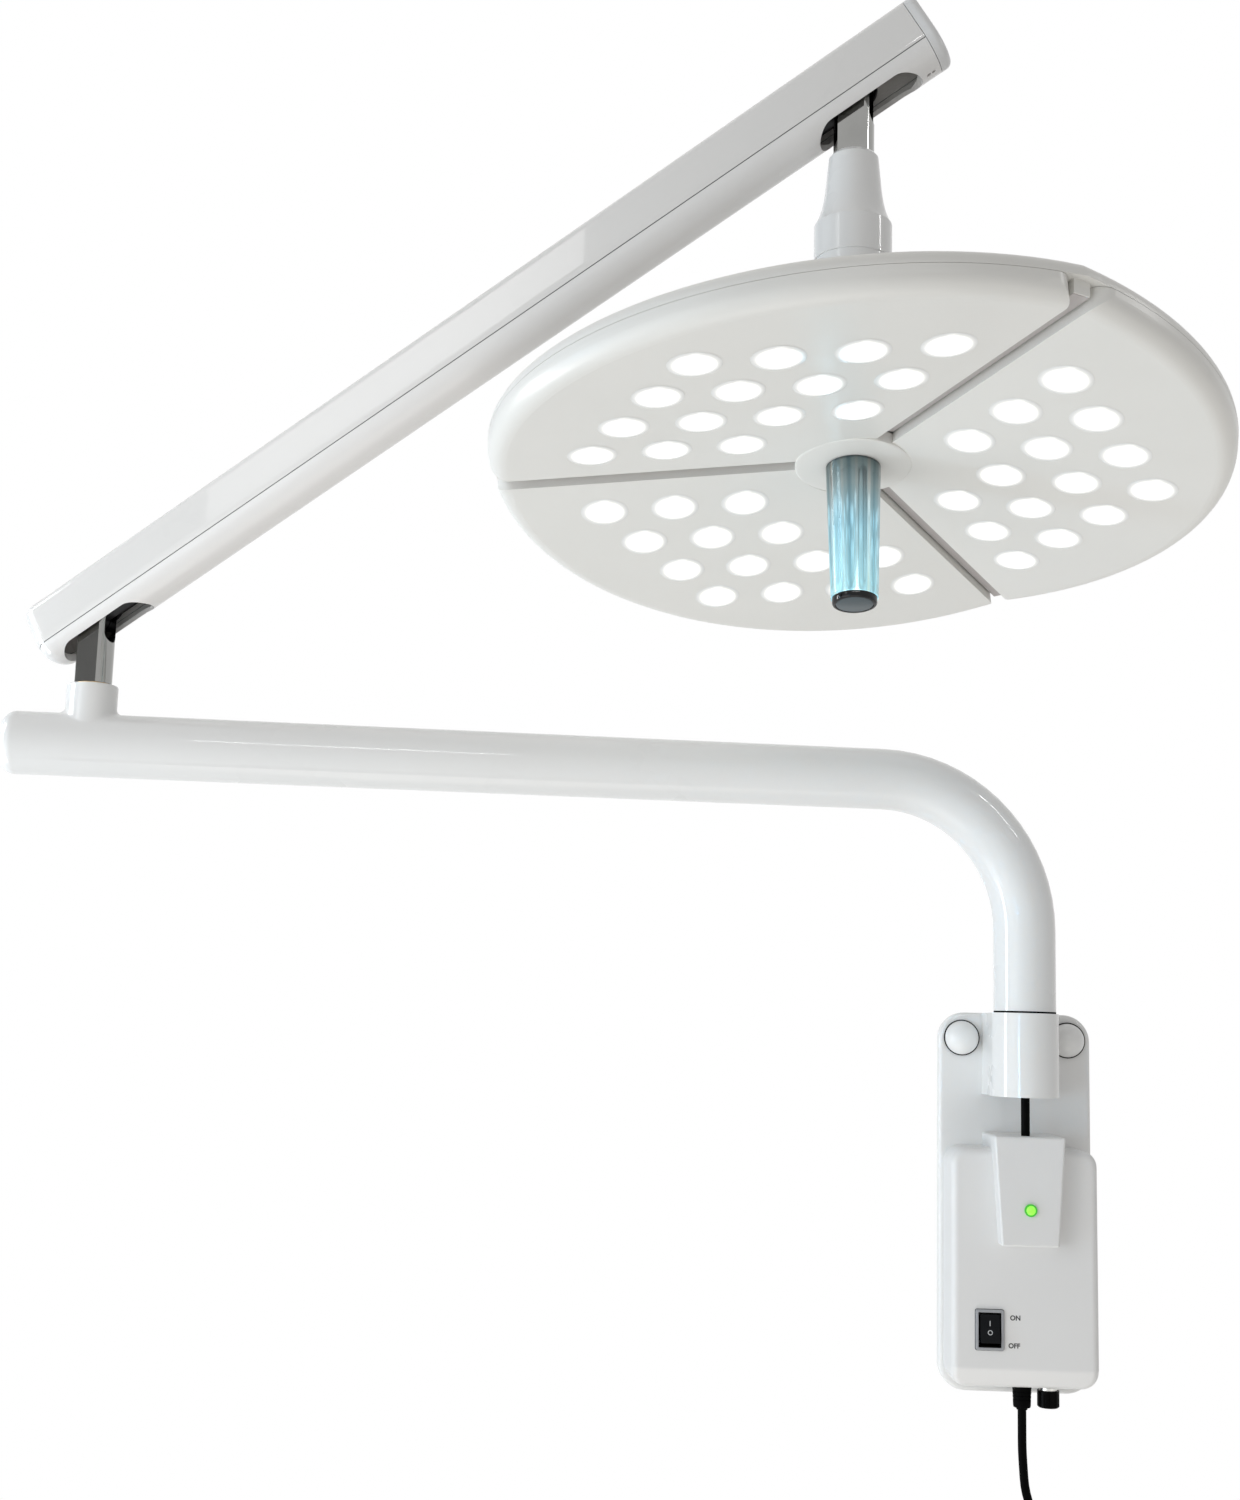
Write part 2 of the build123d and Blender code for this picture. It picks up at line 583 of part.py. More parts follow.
def dimmer():
    base = -COVER_WALL - DIMMER_SPACER
    body = rod(DIMMER_BODY_R, base - DIMMER_BODY_HEIGHT, base) + rod(DIMMER_SPACER_R, base, -COVER_WALL)
    sleeve = rod(DIMMER_SLEEVE_R, -COVER_WALL, DIMMER_SLEEVE_DROP)
    bore = rod(DIMMER_SHAFT_R + RUNNING, base - DIMMER_BODY_HEIGHT / 2, DIMMER_SLEEVE_DROP + 1)
    nut = ring(DIMMER_NUT_R, DIMMER_SLEEVE_R, 0, DIMMER_NUT_THICKNESS)
    start = DIMMER_NUT_THICKNESS + KNOB_GAP
    knob = rod(KNOB_R, start, start + KNOB_HEIGHT)
    knob = chamfer(knob.edges().sort_by(Axis.Z)[-1], 1.0)
    knob -= rod(KNOB_RECESS_R, start - 1, DIMMER_SLEEVE_DROP + KNOB_GAP)
    shaft_end = start + KNOB_HEIGHT - KNOB_TOP_WALL
    knob -= rod(DIMMER_SHAFT_R, 0, shaft_end)
    for turn in range(KNOB_GRIPS):
        groove = Pos(KNOB_R + KNOB_GRIP_R / 3, 0, 0) * rod(KNOB_GRIP_R, start + 2, start + KNOB_HEIGHT + 1)
        knob -= Rotation(0, 0, 360 * turn / KNOB_GRIPS) * groove
    shaft = rod(DIMMER_SHAFT_R, base - DIMMER_BODY_HEIGHT / 2 + SEAT, shaft_end)
    return body + sleeve - bore, nut, knob, shaft


def cord_gland():
    points = [(0, -GLAND_INSIDE), (GLAND_HOLE_R, -GLAND_INSIDE), (GLAND_HOLE_R, 0), (GLAND_R, 0)]
    points.append((GLAND_R, GLAND_COLLAR))
    step = (GLAND_LENGTH - GLAND_COLLAR) / GLAND_RIBS
    for rib in range(GLAND_RIBS):
        share = (rib + 1) / GLAND_RIBS
        radius = GLAND_R - (GLAND_R - GLAND_END_R) * share
        low = GLAND_COLLAR + rib * step
        points += [(radius, low), (radius, low + 0.6 * step)]
        if rib < GLAND_RIBS - 1:
            points += [(radius - GLAND_RIB_STEP, low + 0.6 * step), (radius - GLAND_RIB_STEP, low + step)]
    points += [(GLAND_END_R, GLAND_LENGTH), (0, GLAND_LENGTH)]
    return spin_profile(*points)


# ---- Swing arm -----------------------------------------------------------------------
def tube_path():
    reach = SWING_REACH + TUBE_TAIL
    corners = [(0, 0, tube_start), (0, 0, tube_axis_z), (reach, 0, tube_axis_z)]
    return FilletPolyline(*corners, radius=TUBE_BEND_R)


def swing_tube():
    path = tube_path()
    start = Plane(origin=(0, 0, tube_start), z_dir=(0, 0, 1))
    outside = sweep(start * Circle(TUBE_R), path=path)
    inside = sweep(start * Circle(TUBE_R - TUBE_WALL), path=path)
    at_post = Pos(SWING_REACH, 0, tube_axis_z)
    boss = at_post * rod(BOSS_R, 0, BOSS_HEIGHT)
    tube = outside + boss
    seam = [
        edge
        for edge in tube.edges()
        if abs(edge.center().X - SWING_REACH) < 2 * BOSS_R
        and edge.center().Z < tube_axis_z + TUBE_R
        and edge.geom_type not in (GeomType.LINE, GeomType.CIRCLE)
    ]
    tube = fillet(seam, BOSS_FILLET)
    tube = fillet(tube.edges().filter_by(GeomType.CIRCLE).sort_by(Axis.Z)[-1], 1.5)
    tube -= inside
    tube += at_post * rod(BOSS_R, boss_low, TUBE_R - TUBE_WALL)
    tube -= at_post * rod(JOURNAL_R + CLIP_BORE_PLAY, boss_low - 1, BOSS_HEIGHT)
    bush_r = JOURNAL_R + RUNNING + BUSH_WALL
    return tube - at_post * rod(bush_r, BOSS_HEIGHT - POST_BUSH_LENGTH, BOSS_HEIGHT + 1)


def swing_spindle():
    low = block_bottom + 2
    shaft = rod(SPINDLE_R, low, tube_start)
    plug = rod(TUBE_R - TUBE_WALL, tube_start, tube_start + SPINDLE_PLUG)
    shaft = shaft + plug - rod(SPINDLE_BORE_R, low - 1, tube_start + SPINDLE_PLUG + 1)
    clip_top = block_bottom + CLIP_POCKET - SEAT
    groove = ring(SPINDLE_R + 1, SPINDLE_R - CLIP_GROOVE, clip_top - CLIP_THICKNESS - 0.1, clip_top + 0.1)
    clip = ring(SPINDLE_R + CLIP_RIM, SPINDLE_R - CLIP_GROOVE + 0.1, clip_top - CLIP_THICKNESS, clip_top)
    return shaft - groove, clip


def tube_end_cap():
    end = SWING_REACH + TUBE_TAIL
    head = long_rod(TUBE_R, end, end + TUBE_CAP_LENGTH)
    head = fillet(head.faces().sort_by(Axis.X)[-1].edges(), TUBE_CAP_LENGTH - 1)
    plug = long_rod(TUBE_R - TUBE_WALL - SEAT, end - TUBE_CAP_PLUG, end)
    return Pos(0, 0, tube_axis_z) * (head + plug)


def post_bush():
    bore = JOURNAL_R + RUNNING
    sleeve = ring(bore + BUSH_WALL, bore, BOSS_HEIGHT - POST_BUSH_LENGTH, BOSS_HEIGHT)
    flange = ring(POST_R, bore, BOSS_HEIGHT, BOSS_HEIGHT + POST_BUSH_FLANGE)
    return sleeve + flange


# ---- Posts ---------------------------------------------------------------------------
def post_head(foot):
    """The slotted bar, with its main pivot at the origin and its foot at a height below it."""
    bar = rod(POST_R, foot, 0) + (rod(POST_R, -1, POST_R) & cross_rod(POST_R, POST_R))
    bar &= block((-POST_R, POST_R), (-POST_FLATS / 2, POST_FLATS / 2), (foot, POST_R))
    slot_r = POST_SLOT / 2
    slot_low = slot_r - POST_SLOT_DEPTH
    bar -= block((-2 * POST_R, 2 * POST_R), (-slot_r, slot_r), (slot_low, 2 * POST_R))
    bar -= Pos(0, 0, slot_low) * long_rod(slot_r, -2 * POST_R, 2 * POST_R)
    bar -= cross_rod(PIVOT_PIN_R, POST_R)
    return bar - cross_rod(TIE_PIN_R, POST_R, -TIE_OFFSET)


def journal(shoulder, length):
    """The turned shaft below a post's shoulder and the clip near its lower end."""
    low = shoulder - length
    clip_low = low + JOURNAL_TAIL
    groove = ring(JOURNAL_R + 1, JOURNAL_R - CLIP_GROOVE, clip_low - 0.1, clip_low + CLIP_THICKNESS + 0.1)
    clip = ring(JOURNAL_R + CLIP_RIM, JOURNAL_R - CLIP_GROOVE + 0.1, clip_low, clip_low + CLIP_THICKNESS)
    return rod(JOURNAL_R, low, shoulder) - groove, clip


def link_pins():
    half = POST_FLATS / 2 + BEAM_SIDE_PLAY + BEAM_WALL + SEAT
    return cross_rod(PIVOT_PIN_R, half), cross_rod(TIE_PIN_R, POST_FLATS / 2, -TIE_OFFSET)


# ---- Spring arm ----------------------------------------------------------------------
def arm_section(shrink):
    """Across the arm: flat sides, small corners above and broad ones below."""
    low, high = shrink - ARM_BELOW, ARM_ABOVE - shrink
    outline = Pos(0, (low + high) / 2) * Rectangle(ARM_WIDTH - 2 * shrink, high - low)
    outline = fillet(outline.vertices().group_by(Axis.Y)[-1], max(ARM_TOP_R - shrink, ARM_LEAST_R))
    outline = fillet(outline.vertices().group_by(Axis.Y)[0], ARM_LOW_R - shrink)
    return Plane.YZ * outline


def arm_outline(shrink):
    """The whole arm without its end cap, or its inside when shrunk, rounded at the lower end."""
    start, end = shrink - ARM_TAIL, ARM_LENGTH + ARM_NOSE
    radius = ARM_END_R - shrink
    sections = []
    for step in range(ARM_END_STEPS + 1):
        turn = math.pi / 2 * step / ARM_END_STEPS
        inset = radius * (1 - math.sin(turn))
        sections.append(Pos(start + radius * (1 - math.cos(turn)), 0, 0) * arm_section(shrink + inset))
    straight = Pos(start + radius, 0, 0) * extrude(arm_section(shrink), end - start - radius)
    return straight + loft(sections, ruled=True)


def arm_slot(margin):
    """A slot's outline about its pivot, seen from below."""
    length = ARM_SLOT_BACK + ARM_SLOT_FRONT + 2 * margin
    return Pos((ARM_SLOT_FRONT - ARM_SLOT_BACK) / 2, 0) * SlotOverall(length, 2 * (ARM_SLOT_R + margin))


def arm_shells():
    outside = arm_outline(0)
    whole = outside - arm_outline(ARM_WALL)
    for pivot in (0, ARM_LENGTH):
        lip = extrude(Pos(pivot, 0, -ARM_BELOW) * arm_slot(ARM_LIP), ARM_LIP_RISE)
        whole += lip & outside
    span = (-ARM_TAIL - 1, ARM_LENGTH + ARM_NOSE + 1)
    wide = (-ARM_WIDTH, ARM_WIDTH)
    upper = whole & block(span, wide, (SEAM_GAP / 2 - ARM_SEAM_DROP, 2 * ARM_ABOVE))
    lower = whole & block(span, wide, (-2 * ARM_BELOW, -SEAM_GAP / 2 - ARM_SEAM_DROP))
    slot = extrude(Pos(0, 0, -2 * ARM_BELOW) * arm_slot(0), 2 * ARM_BELOW)
    for pivot in (0, ARM_LENGTH):
        lower -= Pos(pivot, 0, 0) * slot
    for x in cap_screw_places():
        lower -= Pos(x, 0) * rod(CAP_SCREW_R, -2 * ARM_BELOW, -ARM_BELOW / 2)
    return upper, lower


def cap_screw_places():
    at = ARM_LENGTH + ARM_NOSE - CAP_SCREW_IN
    return [at + side * CAP_SCREW_SPACING / 2 for side in (-1, 1)]


def arm_end_cap():
    start = ARM_LENGTH + ARM_NOSE + SEAM_GAP
    cap = Pos(start, 0, 0) * extrude(arm_section(0), ARM_CAP_LENGTH)
    cap = fillet(cap.faces().sort_by(Axis.X)[-1].edges(), ARM_CAP_EDGE_R)
    spigot = Pos(start - ARM_CAP_SPIGOT, 0, 0) * extrude(arm_section(ARM_WALL + SEAT), ARM_CAP_SPIGOT)
    spigot -= Pos(start - ARM_CAP_SPIGOT, 0, 0) * extrude(arm_section(3 * ARM_WALL), ARM_CAP_SPIGOT)
    for x in cap_screw_places():
        spigot -= Pos(x, 0) * rod(CAP_SCREW_R, -2 * ARM_BELOW, -ARM_BELOW / 2)
    return cap + spigot


def arm_cap_screw(x):
    head = CAP_SCREW_SINK - ARM_BELOW
    return Pos(x, 0) * rod(CAP_SCREW_R, head, head + CAP_SCREW_LENGTH)


def beam_sides():
    inner = POST_FLATS / 2 + BEAM_SIDE_PLAY
    return inner, inner + BEAM_WALL


def beam_top():
    """The web lies just under the shell's flat inside."""
    return ARM_ABOVE - ARM_WALL - SEAT


def arm_beam():
    inner, outer = beam_sides()
    top = beam_top()
    cheeks = block((0, ARM_LENGTH), (-outer, outer), (-BEAM_DEPTH, top))
    for pivot in (0, ARM_LENGTH):
        cheeks += Pos(pivot, 0, 0) * cross_rod(BEAM_END_R, outer)
    cheeks -= block((-ARM_TAIL, ARM_LENGTH + ARM_TAIL), (-inner, inner), (-ARM_BELOW, top - BEAM_WALL))
    for low, high in ((-ARM_TAIL, BEAM_WEB_IN), (ARM_LENGTH - BEAM_WEB_IN, ARM_LENGTH + ARM_TAIL)):
        cheeks -= block((low, high), (-inner, inner), (-ARM_BELOW, ARM_BELOW))
    for pivot in (0, ARM_LENGTH):
        cheeks -= Pos(pivot, 0, 0) * cross_rod(PIVOT_PIN_R + RUNNING, ARM_WIDTH)
    return cheeks


def tie_height(rise):
    """The tie rod's axis above the arm's centre line, with the arm this far above level."""
    return -TIE_OFFSET * math.cos(math.radians(rise))


def spring_seat():
    inner = beam_sides()[0]
    low = tie_height(0) - TIE_HEIGHT / 2 - SEAT_WINDOW_PLAY
    high = tie_height(ARM_HIGHEST) + TIE_HEIGHT / 2 + SEAT_WINDOW_PLAY
    span = (SPRING_SEAT_AT, SPRING_SEAT_AT + SPRING_SEAT_LENGTH)
    plate = block(span, (-inner, inner), (low - 2, high + 4))
    half = TIE_WIDTH / 2 + SEAT_WINDOW_PLAY / 2
    return plate - block((0, ARM_LENGTH), (-half, half), (low, high))


def balance_spring():
    shift = -TIE_OFFSET * math.sin(math.radians(ARM_RISE))
    start = COLLAR_AT + COLLAR_LENGTH + shift + SEAT
    coil = long_rod(SPRING_R, start, SPRING_SEAT_AT) - long_rod(SPRING_BORE_R, start - 1, SPRING_SEAT_AT + 1)
    return Pos(0, 0, tie_height(ARM_RISE)) * coil


def tie_rod():
    bar = block((0, ARM_LENGTH), (-TIE_WIDTH / 2, TIE_WIDTH / 2), (-TIE_HEIGHT / 2, TIE_HEIGHT / 2))
    for pivot in (0, ARM_LENGTH):
        bar += Pos(pivot, 0, 0) * cross_rod(TIE_EYE_R, TIE_EYE_WIDTH / 2)
    bar += long_rod(COLLAR_R, COLLAR_AT, COLLAR_AT + COLLAR_LENGTH)
    bar -= cross_rod(TIE_PIN_R + RUNNING, TIE_EYE_WIDTH)
    return bar - Pos(ARM_LENGTH, 0, 0) * cross_rod(TIE_PIN_R + OPEN_PIVOT, TIE_EYE_WIDTH)


# ---- Neck ----------------------------------------------------------------------------
def neck_cover():
    top, mid, collar = -NECK_TOP_DROP, -NECK_MID_DROP, -NECK_COLLAR_DROP
    end = -NECK_COLLAR_END
    flare = Spline((NECK_MID_R, mid), (NECK_COLLAR_R, collar), tangents=((0.12, -1), (0.6, -1)))
    outline = Polyline(
        (NECK_COLLAR_R, collar),
        (NECK_COLLAR_R, end),
        (SPIGOT_R + RUNNING, end),
        (SPIGOT_R + RUNNING, top - 4),
        (JOURNAL_R + 2, top - 4),
        (JOURNAL_R + 2, top),
        (NECK_TOP_R - 2, top),
        (NECK_TOP_R, top - 2.5),
        (NECK_MID_R, mid),
    )
    return revolve(Plane.XZ * make_face([*flare.edges(), *outline.edges()]), Axis.Z)


def neck_yoke():
    spigot = rod(SPIGOT_R, -NECK_COLLAR_END, -NECK_TOP_DROP - 4 - SEAT)
    head = rod(YOKE_R, -YOKE_END_DROP, -NECK_COLLAR_END)
    inner = KNUCKLE_WIDTH / 2 + TILT_WASHER + 2 * RUNNING
    outer = inner + CHEEK_THICKNESS
    cheek = block((inner, outer), (-CHEEK_HALF_WIDTH, CHEEK_HALF_WIDTH), (-TILT_DROP, -YOKE_END_DROP))
    cheek += Pos(0, 0, -TILT_DROP) * long_rod(CHEEK_HALF_WIDTH, inner, outer)
    yoke = spigot + head + cheek + mirror(cheek, Plane.YZ)
    yoke -= Pos(0, 0, -TILT_DROP) * long_rod(TILT_PIN_R, -2 * outer, 2 * outer)
    clip_top = SEAT - NECK_TOP_DROP - JOURNAL_LENGTH + JOURNAL_TAIL + CLIP_THICKNESS
    bush_top = -NECK_TOP_DROP - 4 - SEAT
    yoke -= rod(JOURNAL_R + CLIP_RIM + 1, -YOKE_END_DROP - 1, clip_top + SEAT)
    yoke -= rod(JOURNAL_R + CLIP_BORE_PLAY, clip_top, bush_top)
    return yoke - rod(JOURNAL_R + RUNNING + BUSH_WALL, bush_top - NECK_BUSH_LENGTH, 0)


def neck_bush():
    top = -NECK_TOP_DROP - 4 - SEAT
    return ring(JOURNAL_R + RUNNING + BUSH_WALL, JOURNAL_R + RUNNING, top - NECK_BUSH_LENGTH, top)


def tilt_pin():
    outer = KNUCKLE_WIDTH / 2 + TILT_WASHER + 2 * RUNNING + CHEEK_THICKNESS
    pin = long_rod(TILT_PIN_R, -outer, outer)
    for side in (-1, 1):
        pin += long_rod(TILT_PIN_HEAD_R, *sorted((side * outer, side * (outer + TILT_PIN_HEAD))))
    return pin


def tilt_washer(side):
    inner = KNUCKLE_WIDTH / 2 + RUNNING
    ends = sorted((side * inner, side * (inner + TILT_WASHER)))
    bore = long_rod(TILT_PIN_R + RUNNING, -2 * KNUCKLE_WIDTH, 2 * KNUCKLE_WIDTH)
    return long_rod(KNUCKLE_R - 2, *ends) - bore


# ---- Lamp head -----------------------------------------------------------------------
def lobe_frame(index):
    """A lobe's own frame: X runs out along its middle, in its face."""
    middle = CHANNEL_AZIMUTH - 180 / LOBE_COUNT + 360 * index / LOBE_COUNT
    return Rotation(0, 0, middle) * Rotation(0, LOBE_TILT, 0)


def lobe_half_angle():
    return math.atan(math.tan(math.pi / LOBE_COUNT) * math.cos(math.radians(LOBE_TILT)))


def lobe_outline(shrink, corner):
    """A lobe seen square on: a sector set back from its channels and round the hub."""
    set_back = CHANNEL_WIDTH / 2 + shrink
    half = lobe_half_angle()
    tip = (set_back / math.sin(half), 0)
    reach = 2 * DISH_R
    far = [(tip[0] + reach * math.cos(half), side * reach * math.sin(half)) for side in (-1, 1)]
    outline = make_face(Polyline(tip, *far, close=True))
    outline &= Circle(DISH_R - shrink)
    outline -= Circle(HUB_R + shrink)
    return fillet(outline.vertices().sort_by_distance((0, 0))[-2:], corner)


def front_panel():
    outside = fillet(rod(DISH_R, 0, PANEL_DEPTH).faces().sort_by(Axis.Z)[0].edges(), DISH_FRONT_R)
    outside &= extrude(lobe_outline(0, LOBE_CORNER_R), PANEL_DEPTH)
    inside = rod(DISH_R - DISH_WALL, DISH_WALL, PANEL_DEPTH + 1)
    inside = fillet(inside.faces().sort_by(Axis.Z)[0].edges(), DISH_FRONT_R - DISH_WALL)
    inside &= extrude(lobe_outline(DISH_WALL, LOBE_CORNER_R - 2), 2 * PANEL_DEPTH)
    panel = outside - inside
    for x, y in lens_places():
        panel -= Pos(x, y) * rod(LENS_HOLE_R, -1, 2 * DISH_WALL)
    return panel


def lens_places():
    """A rhombic grid along the two channels, without the corner next to the hub."""
    places = []
    for i in range(1, LENS_ROWS + 1):
        for j in range(1, LENS_ROWS + 1):
            if i == j == 1:
                continue
            along = (i + j) * LENS_PITCH * math.cos(math.pi / 3)
            places.append((along, (i - j) * LENS_PITCH * math.sin(math.pi / 3)))
    return places


def lens(x, y):
    rim = LENS_HOLE_R - SEAT
    depth = board_at - SEAT - LENS_RECESS
    return Pos(x, y, LENS_RECESS + depth / 2) * Cone(rim, LENS_BACK_R, depth)


def led_board():
    board = extrude(lobe_outline(DISH_WALL + 2 * SEAT, LOBE_CORNER_R), BOARD_THICKNESS)
    return Pos(0, 0, board_at) * board


def sector(set_back):
    """A lobe's share of the dish between upright planes along its channels, about X."""
    reach = 2 * DISH_R
    half = math.pi / LOBE_COUNT
    tip = (set_back / math.sin(half), 0)
    far = [(tip[0] + reach * math.cos(half), side * reach * math.sin(half)) for side in (-1, 1)]
    return extrude(make_face(Polyline(tip, *far, close=True)), DISH_R, both=True)


def dish_housing():
    low = PANEL_DEPTH + SEAT
    outside = rod(DISH_R, low, LOBE_THICKNESS)
    outside = fillet(outside.faces().sort_by(Axis.Z)[-1].edges(), DISH_BACK_R)
    inside = rod(DISH_R - DISH_WALL, low - 1, LOBE_THICKNESS - DISH_WALL)
    inside = fillet(inside.faces().sort_by(Axis.Z)[-1].edges(), DISH_BACK_R - 2)
    inside -= rod(HUB_R + DISH_WALL + BOARD_LAND, 0, 2 * LOBE_THICKNESS)
    lean = Rotation(0, LOBE_TILT, 0)
    slab = (lean * outside) & sector(0)
    hollow = (lean * inside) & sector(CHANNEL_WIDTH / 2 + DISH_WALL + BOARD_LAND)
    housing = None
    for index in range(LOBE_COUNT):
        turn = Rotation(0, 0, CHANNEL_AZIMUTH - 180 / LOBE_COUNT + 360 * index / LOBE_COUNT)
        housing = turn * slab if housing is None else housing + turn * slab
    boss_top = LOBE_THICKNESS + BACK_BOSS_RISE
    housing += rod(BACK_BOSS_R, boss_top - 12, boss_top)
    housing += rod(HUB_R - SEAT, HUB_DISC_THICKNESS - HUB_FACE_STEP + SEAT, LOBE_THICKNESS)
    slope = math.degrees(math.atan(math.tan(math.radians(LOBE_TILT)) / 2))
    rib = block((HUB_R, DISH_R - 5), (SEAT - CHANNEL_WIDTH / 2, CHANNEL_WIDTH / 2 - SEAT),
                (CHANNEL_DEPTH, LOBE_THICKNESS - 8))
    for index in range(LOBE_COUNT):
        step = 360 * index / LOBE_COUNT
        housing -= Rotation(0, 0, CHANNEL_AZIMUTH - 180 / LOBE_COUNT + step) * hollow
        housing += Rotation(0, 0, CHANNEL_AZIMUTH + step) * Rotation(0, slope, 0) * rib
    return housing - rod(HUB_SPIGOT_R, -1, 2 * LOBE_THICKNESS)


def hub_disc():
    face = -HUB_FACE_STEP
    disc = rod(HUB_R - SEAT, face, face + HUB_DISC_THICKNESS)
    disc = fillet(disc.faces().sort_by(Axis.Z)[0].edges(), 2.0)
    return disc - rod(STEM_R, face - 1, HUB_DISC_THICKNESS)


def head_hub():
    """Flange on the dish's back, a spigot through it and a stub up to the knuckle."""
    seat = LOBE_THICKNESS + BACK_BOSS_RISE
    low = HUB_DISC_THICKNESS - HUB_FACE_STEP
    neck_low = seat + HUB_FLANGE_THICKNESS
    neck_high = HUB_FACE_DROP - KNUCKLE_R
    spigot_r = HUB_SPIGOT_R - RUNNING
    hub = spin_profile(
        (0, low),
        (spigot_r, low),
        (spigot_r, seat),
        (HUB_FLANGE_R, seat),
        (HUB_FLANGE_R, seat + 3),
        (HUB_FLANGE_R - 6, neck_low),
        (HUB_NECK_R + 12, neck_low),
        (HUB_NECK_R, neck_low + 10),
        (HUB_NECK_R, neck_high),
        (0, neck_high),
    )
    half = KNUCKLE_WIDTH / 2
    web = block((-half, half), (-HUB_NECK_R, HUB_NECK_R), (HUB_FACE_DROP - KNUCKLE_R - 6, HUB_FACE_DROP))
    knuckle = Pos(0, 0, HUB_FACE_DROP) * long_rod(KNUCKLE_R, -half, half)
    stub = hub & block((-half, half), (-HUB_NECK_R, HUB_NECK_R), (neck_low + 10, HUB_FACE_DROP))
    hub = (hub & rod(HUB_FLANGE_R, 0, neck_low + 10)) + stub + web + knuckle
    hub -= Pos(0, 0, HUB_FACE_DROP) * long_rod(TILT_PIN_R + RUNNING, -2 * half, 2 * half)
    return hub - rod(STEM_R, 0, low + STEM_INTO_HUB)


def handle_stem():
    into_hub = HUB_DISC_THICKNESS - HUB_FACE_STEP + STEM_INTO_HUB - 1
    return rod(STEM_R, -HUB_FACE_STEP - GRIP_BORE_DEPTH, into_hub)


def fluted_face(radius, height):
    """A round section with shallow flutes cut into it."""
    outline = Circle(radius)
    away = radius + GRIP_FLUTE_R - GRIP_FLUTE_DEPTH
    for turn in range(GRIP_FLUTES):
        outline -= Rotation(0, 0, 360 * turn / GRIP_FLUTES) * Pos(away, 0) * Circle(GRIP_FLUTE_R)
    return Pos(0, 0, height) * outline


def handle_grip():
    top = -HUB_FACE_STEP - SEAT
    grip = loft([fluted_face(GRIP_END_R, top - GRIP_LENGTH), fluted_face(GRIP_TOP_R, top)])
    return grip - rod(STEM_R + RUNNING, -HUB_FACE_STEP - GRIP_BORE_DEPTH - SEAT, top + 1)


def handle_end_cap():
    top = -HUB_FACE_STEP - SEAT - GRIP_LENGTH
    cap = rod(GRIP_END_R - GRIP_FLUTE_DEPTH / 2, top - GRIP_CAP_THICKNESS, top)
    return fillet(cap.faces().sort_by(Axis.Z)[0].edges(), GRIP_CAP_EDGE_R)


# ---- Mains cord ----------------------------------------------------------------------
def coil_radius(turns):
    """Spirals in and out by turns; round each reversal the radius turns smoothly."""
    leg, left = divmod(turns, COIL_LEG)
    inward = left if leg % 2 == 0 else COIL_LEG - left
    if leg >= COIL_LAYERS:
        inward = 0.0
    from_inside = COIL_LEG - inward
    if from_inside < COIL_CLIMB and 0 < turns:
        inward = COIL_LEG - (2 * from_inside**2 + COIL_CLIMB / 2)
    if inward < COIL_CLIMB and COIL_CLIMB < turns < COIL_LAYERS * COIL_LEG - COIL_CLIMB:
        inward = 2 * inward**2 + COIL_CLIMB / 2
    return COIL_OUTER_R - COIL_PITCH * inward


def smooth_step(share):
    share = min(1.0, max(0.0, share))
    return share * share * (3 - 2 * share)


def coil_depth(turns):
    """Distance out from the wall: a layer at each reversal and a last one onto the plug's plane."""
    depth = FITTINGS_FROM_WALL
    for layer in range(1, COIL_LAYERS):
        depth += COIL_PITCH * smooth_step((turns - layer * COIL_LEG + COIL_CLIMB) / (2 * COIL_CLIMB))
    last = COIL_LAYERS * COIL_LEG
    return depth + plug_step() * smooth_step((turns - last + 2 * COIL_CLIMB) / (2 * COIL_CLIMB))


def plug_step():
    return PLUG_BACK + PLUG_BODY[1] / 2


def coil_point(turns):
    angle = 2 * math.pi * turns
    radius = coil_radius(turns)
    x = COIL_CENTRE[0] + radius * math.cos(angle)
    z = COIL_CENTRE[1] - radius * math.sin(angle)
    return Vector(x, -coil_depth(turns), z)


def coil_tangent(turns):
    step = 1e-4
    low, high = max(0.0, turns - step), min(COIL_LAYERS * COIL_LEG, turns + step)
    if low == 0.0 or high == COIL_LAYERS * COIL_LEG:
        return Vector(0, 0, -1)
    return (coil_point(high) - coil_point(low)).normalized()


def biarc(start, start_tangent, end, end_tangent):
    """Two arcs that leave and arrive along the given directions."""
    across = end - start
    both = start_tangent + end_tangent
    a = 2 * (1 - start_tangent.dot(end_tangent))
    b = across.dot(both)
    reach = (math.sqrt(b * b + a * across.dot(across)) - b) / a
    middle = (start + start_tangent * reach + end - end_tangent * reach) * 0.5
    turn = (end - end_tangent * reach - start - start_tangent * reach).normalized()
    return [Edge.make_tangent_arc(start, start_tangent, middle), Edge.make_tangent_arc(middle, turn, end)]


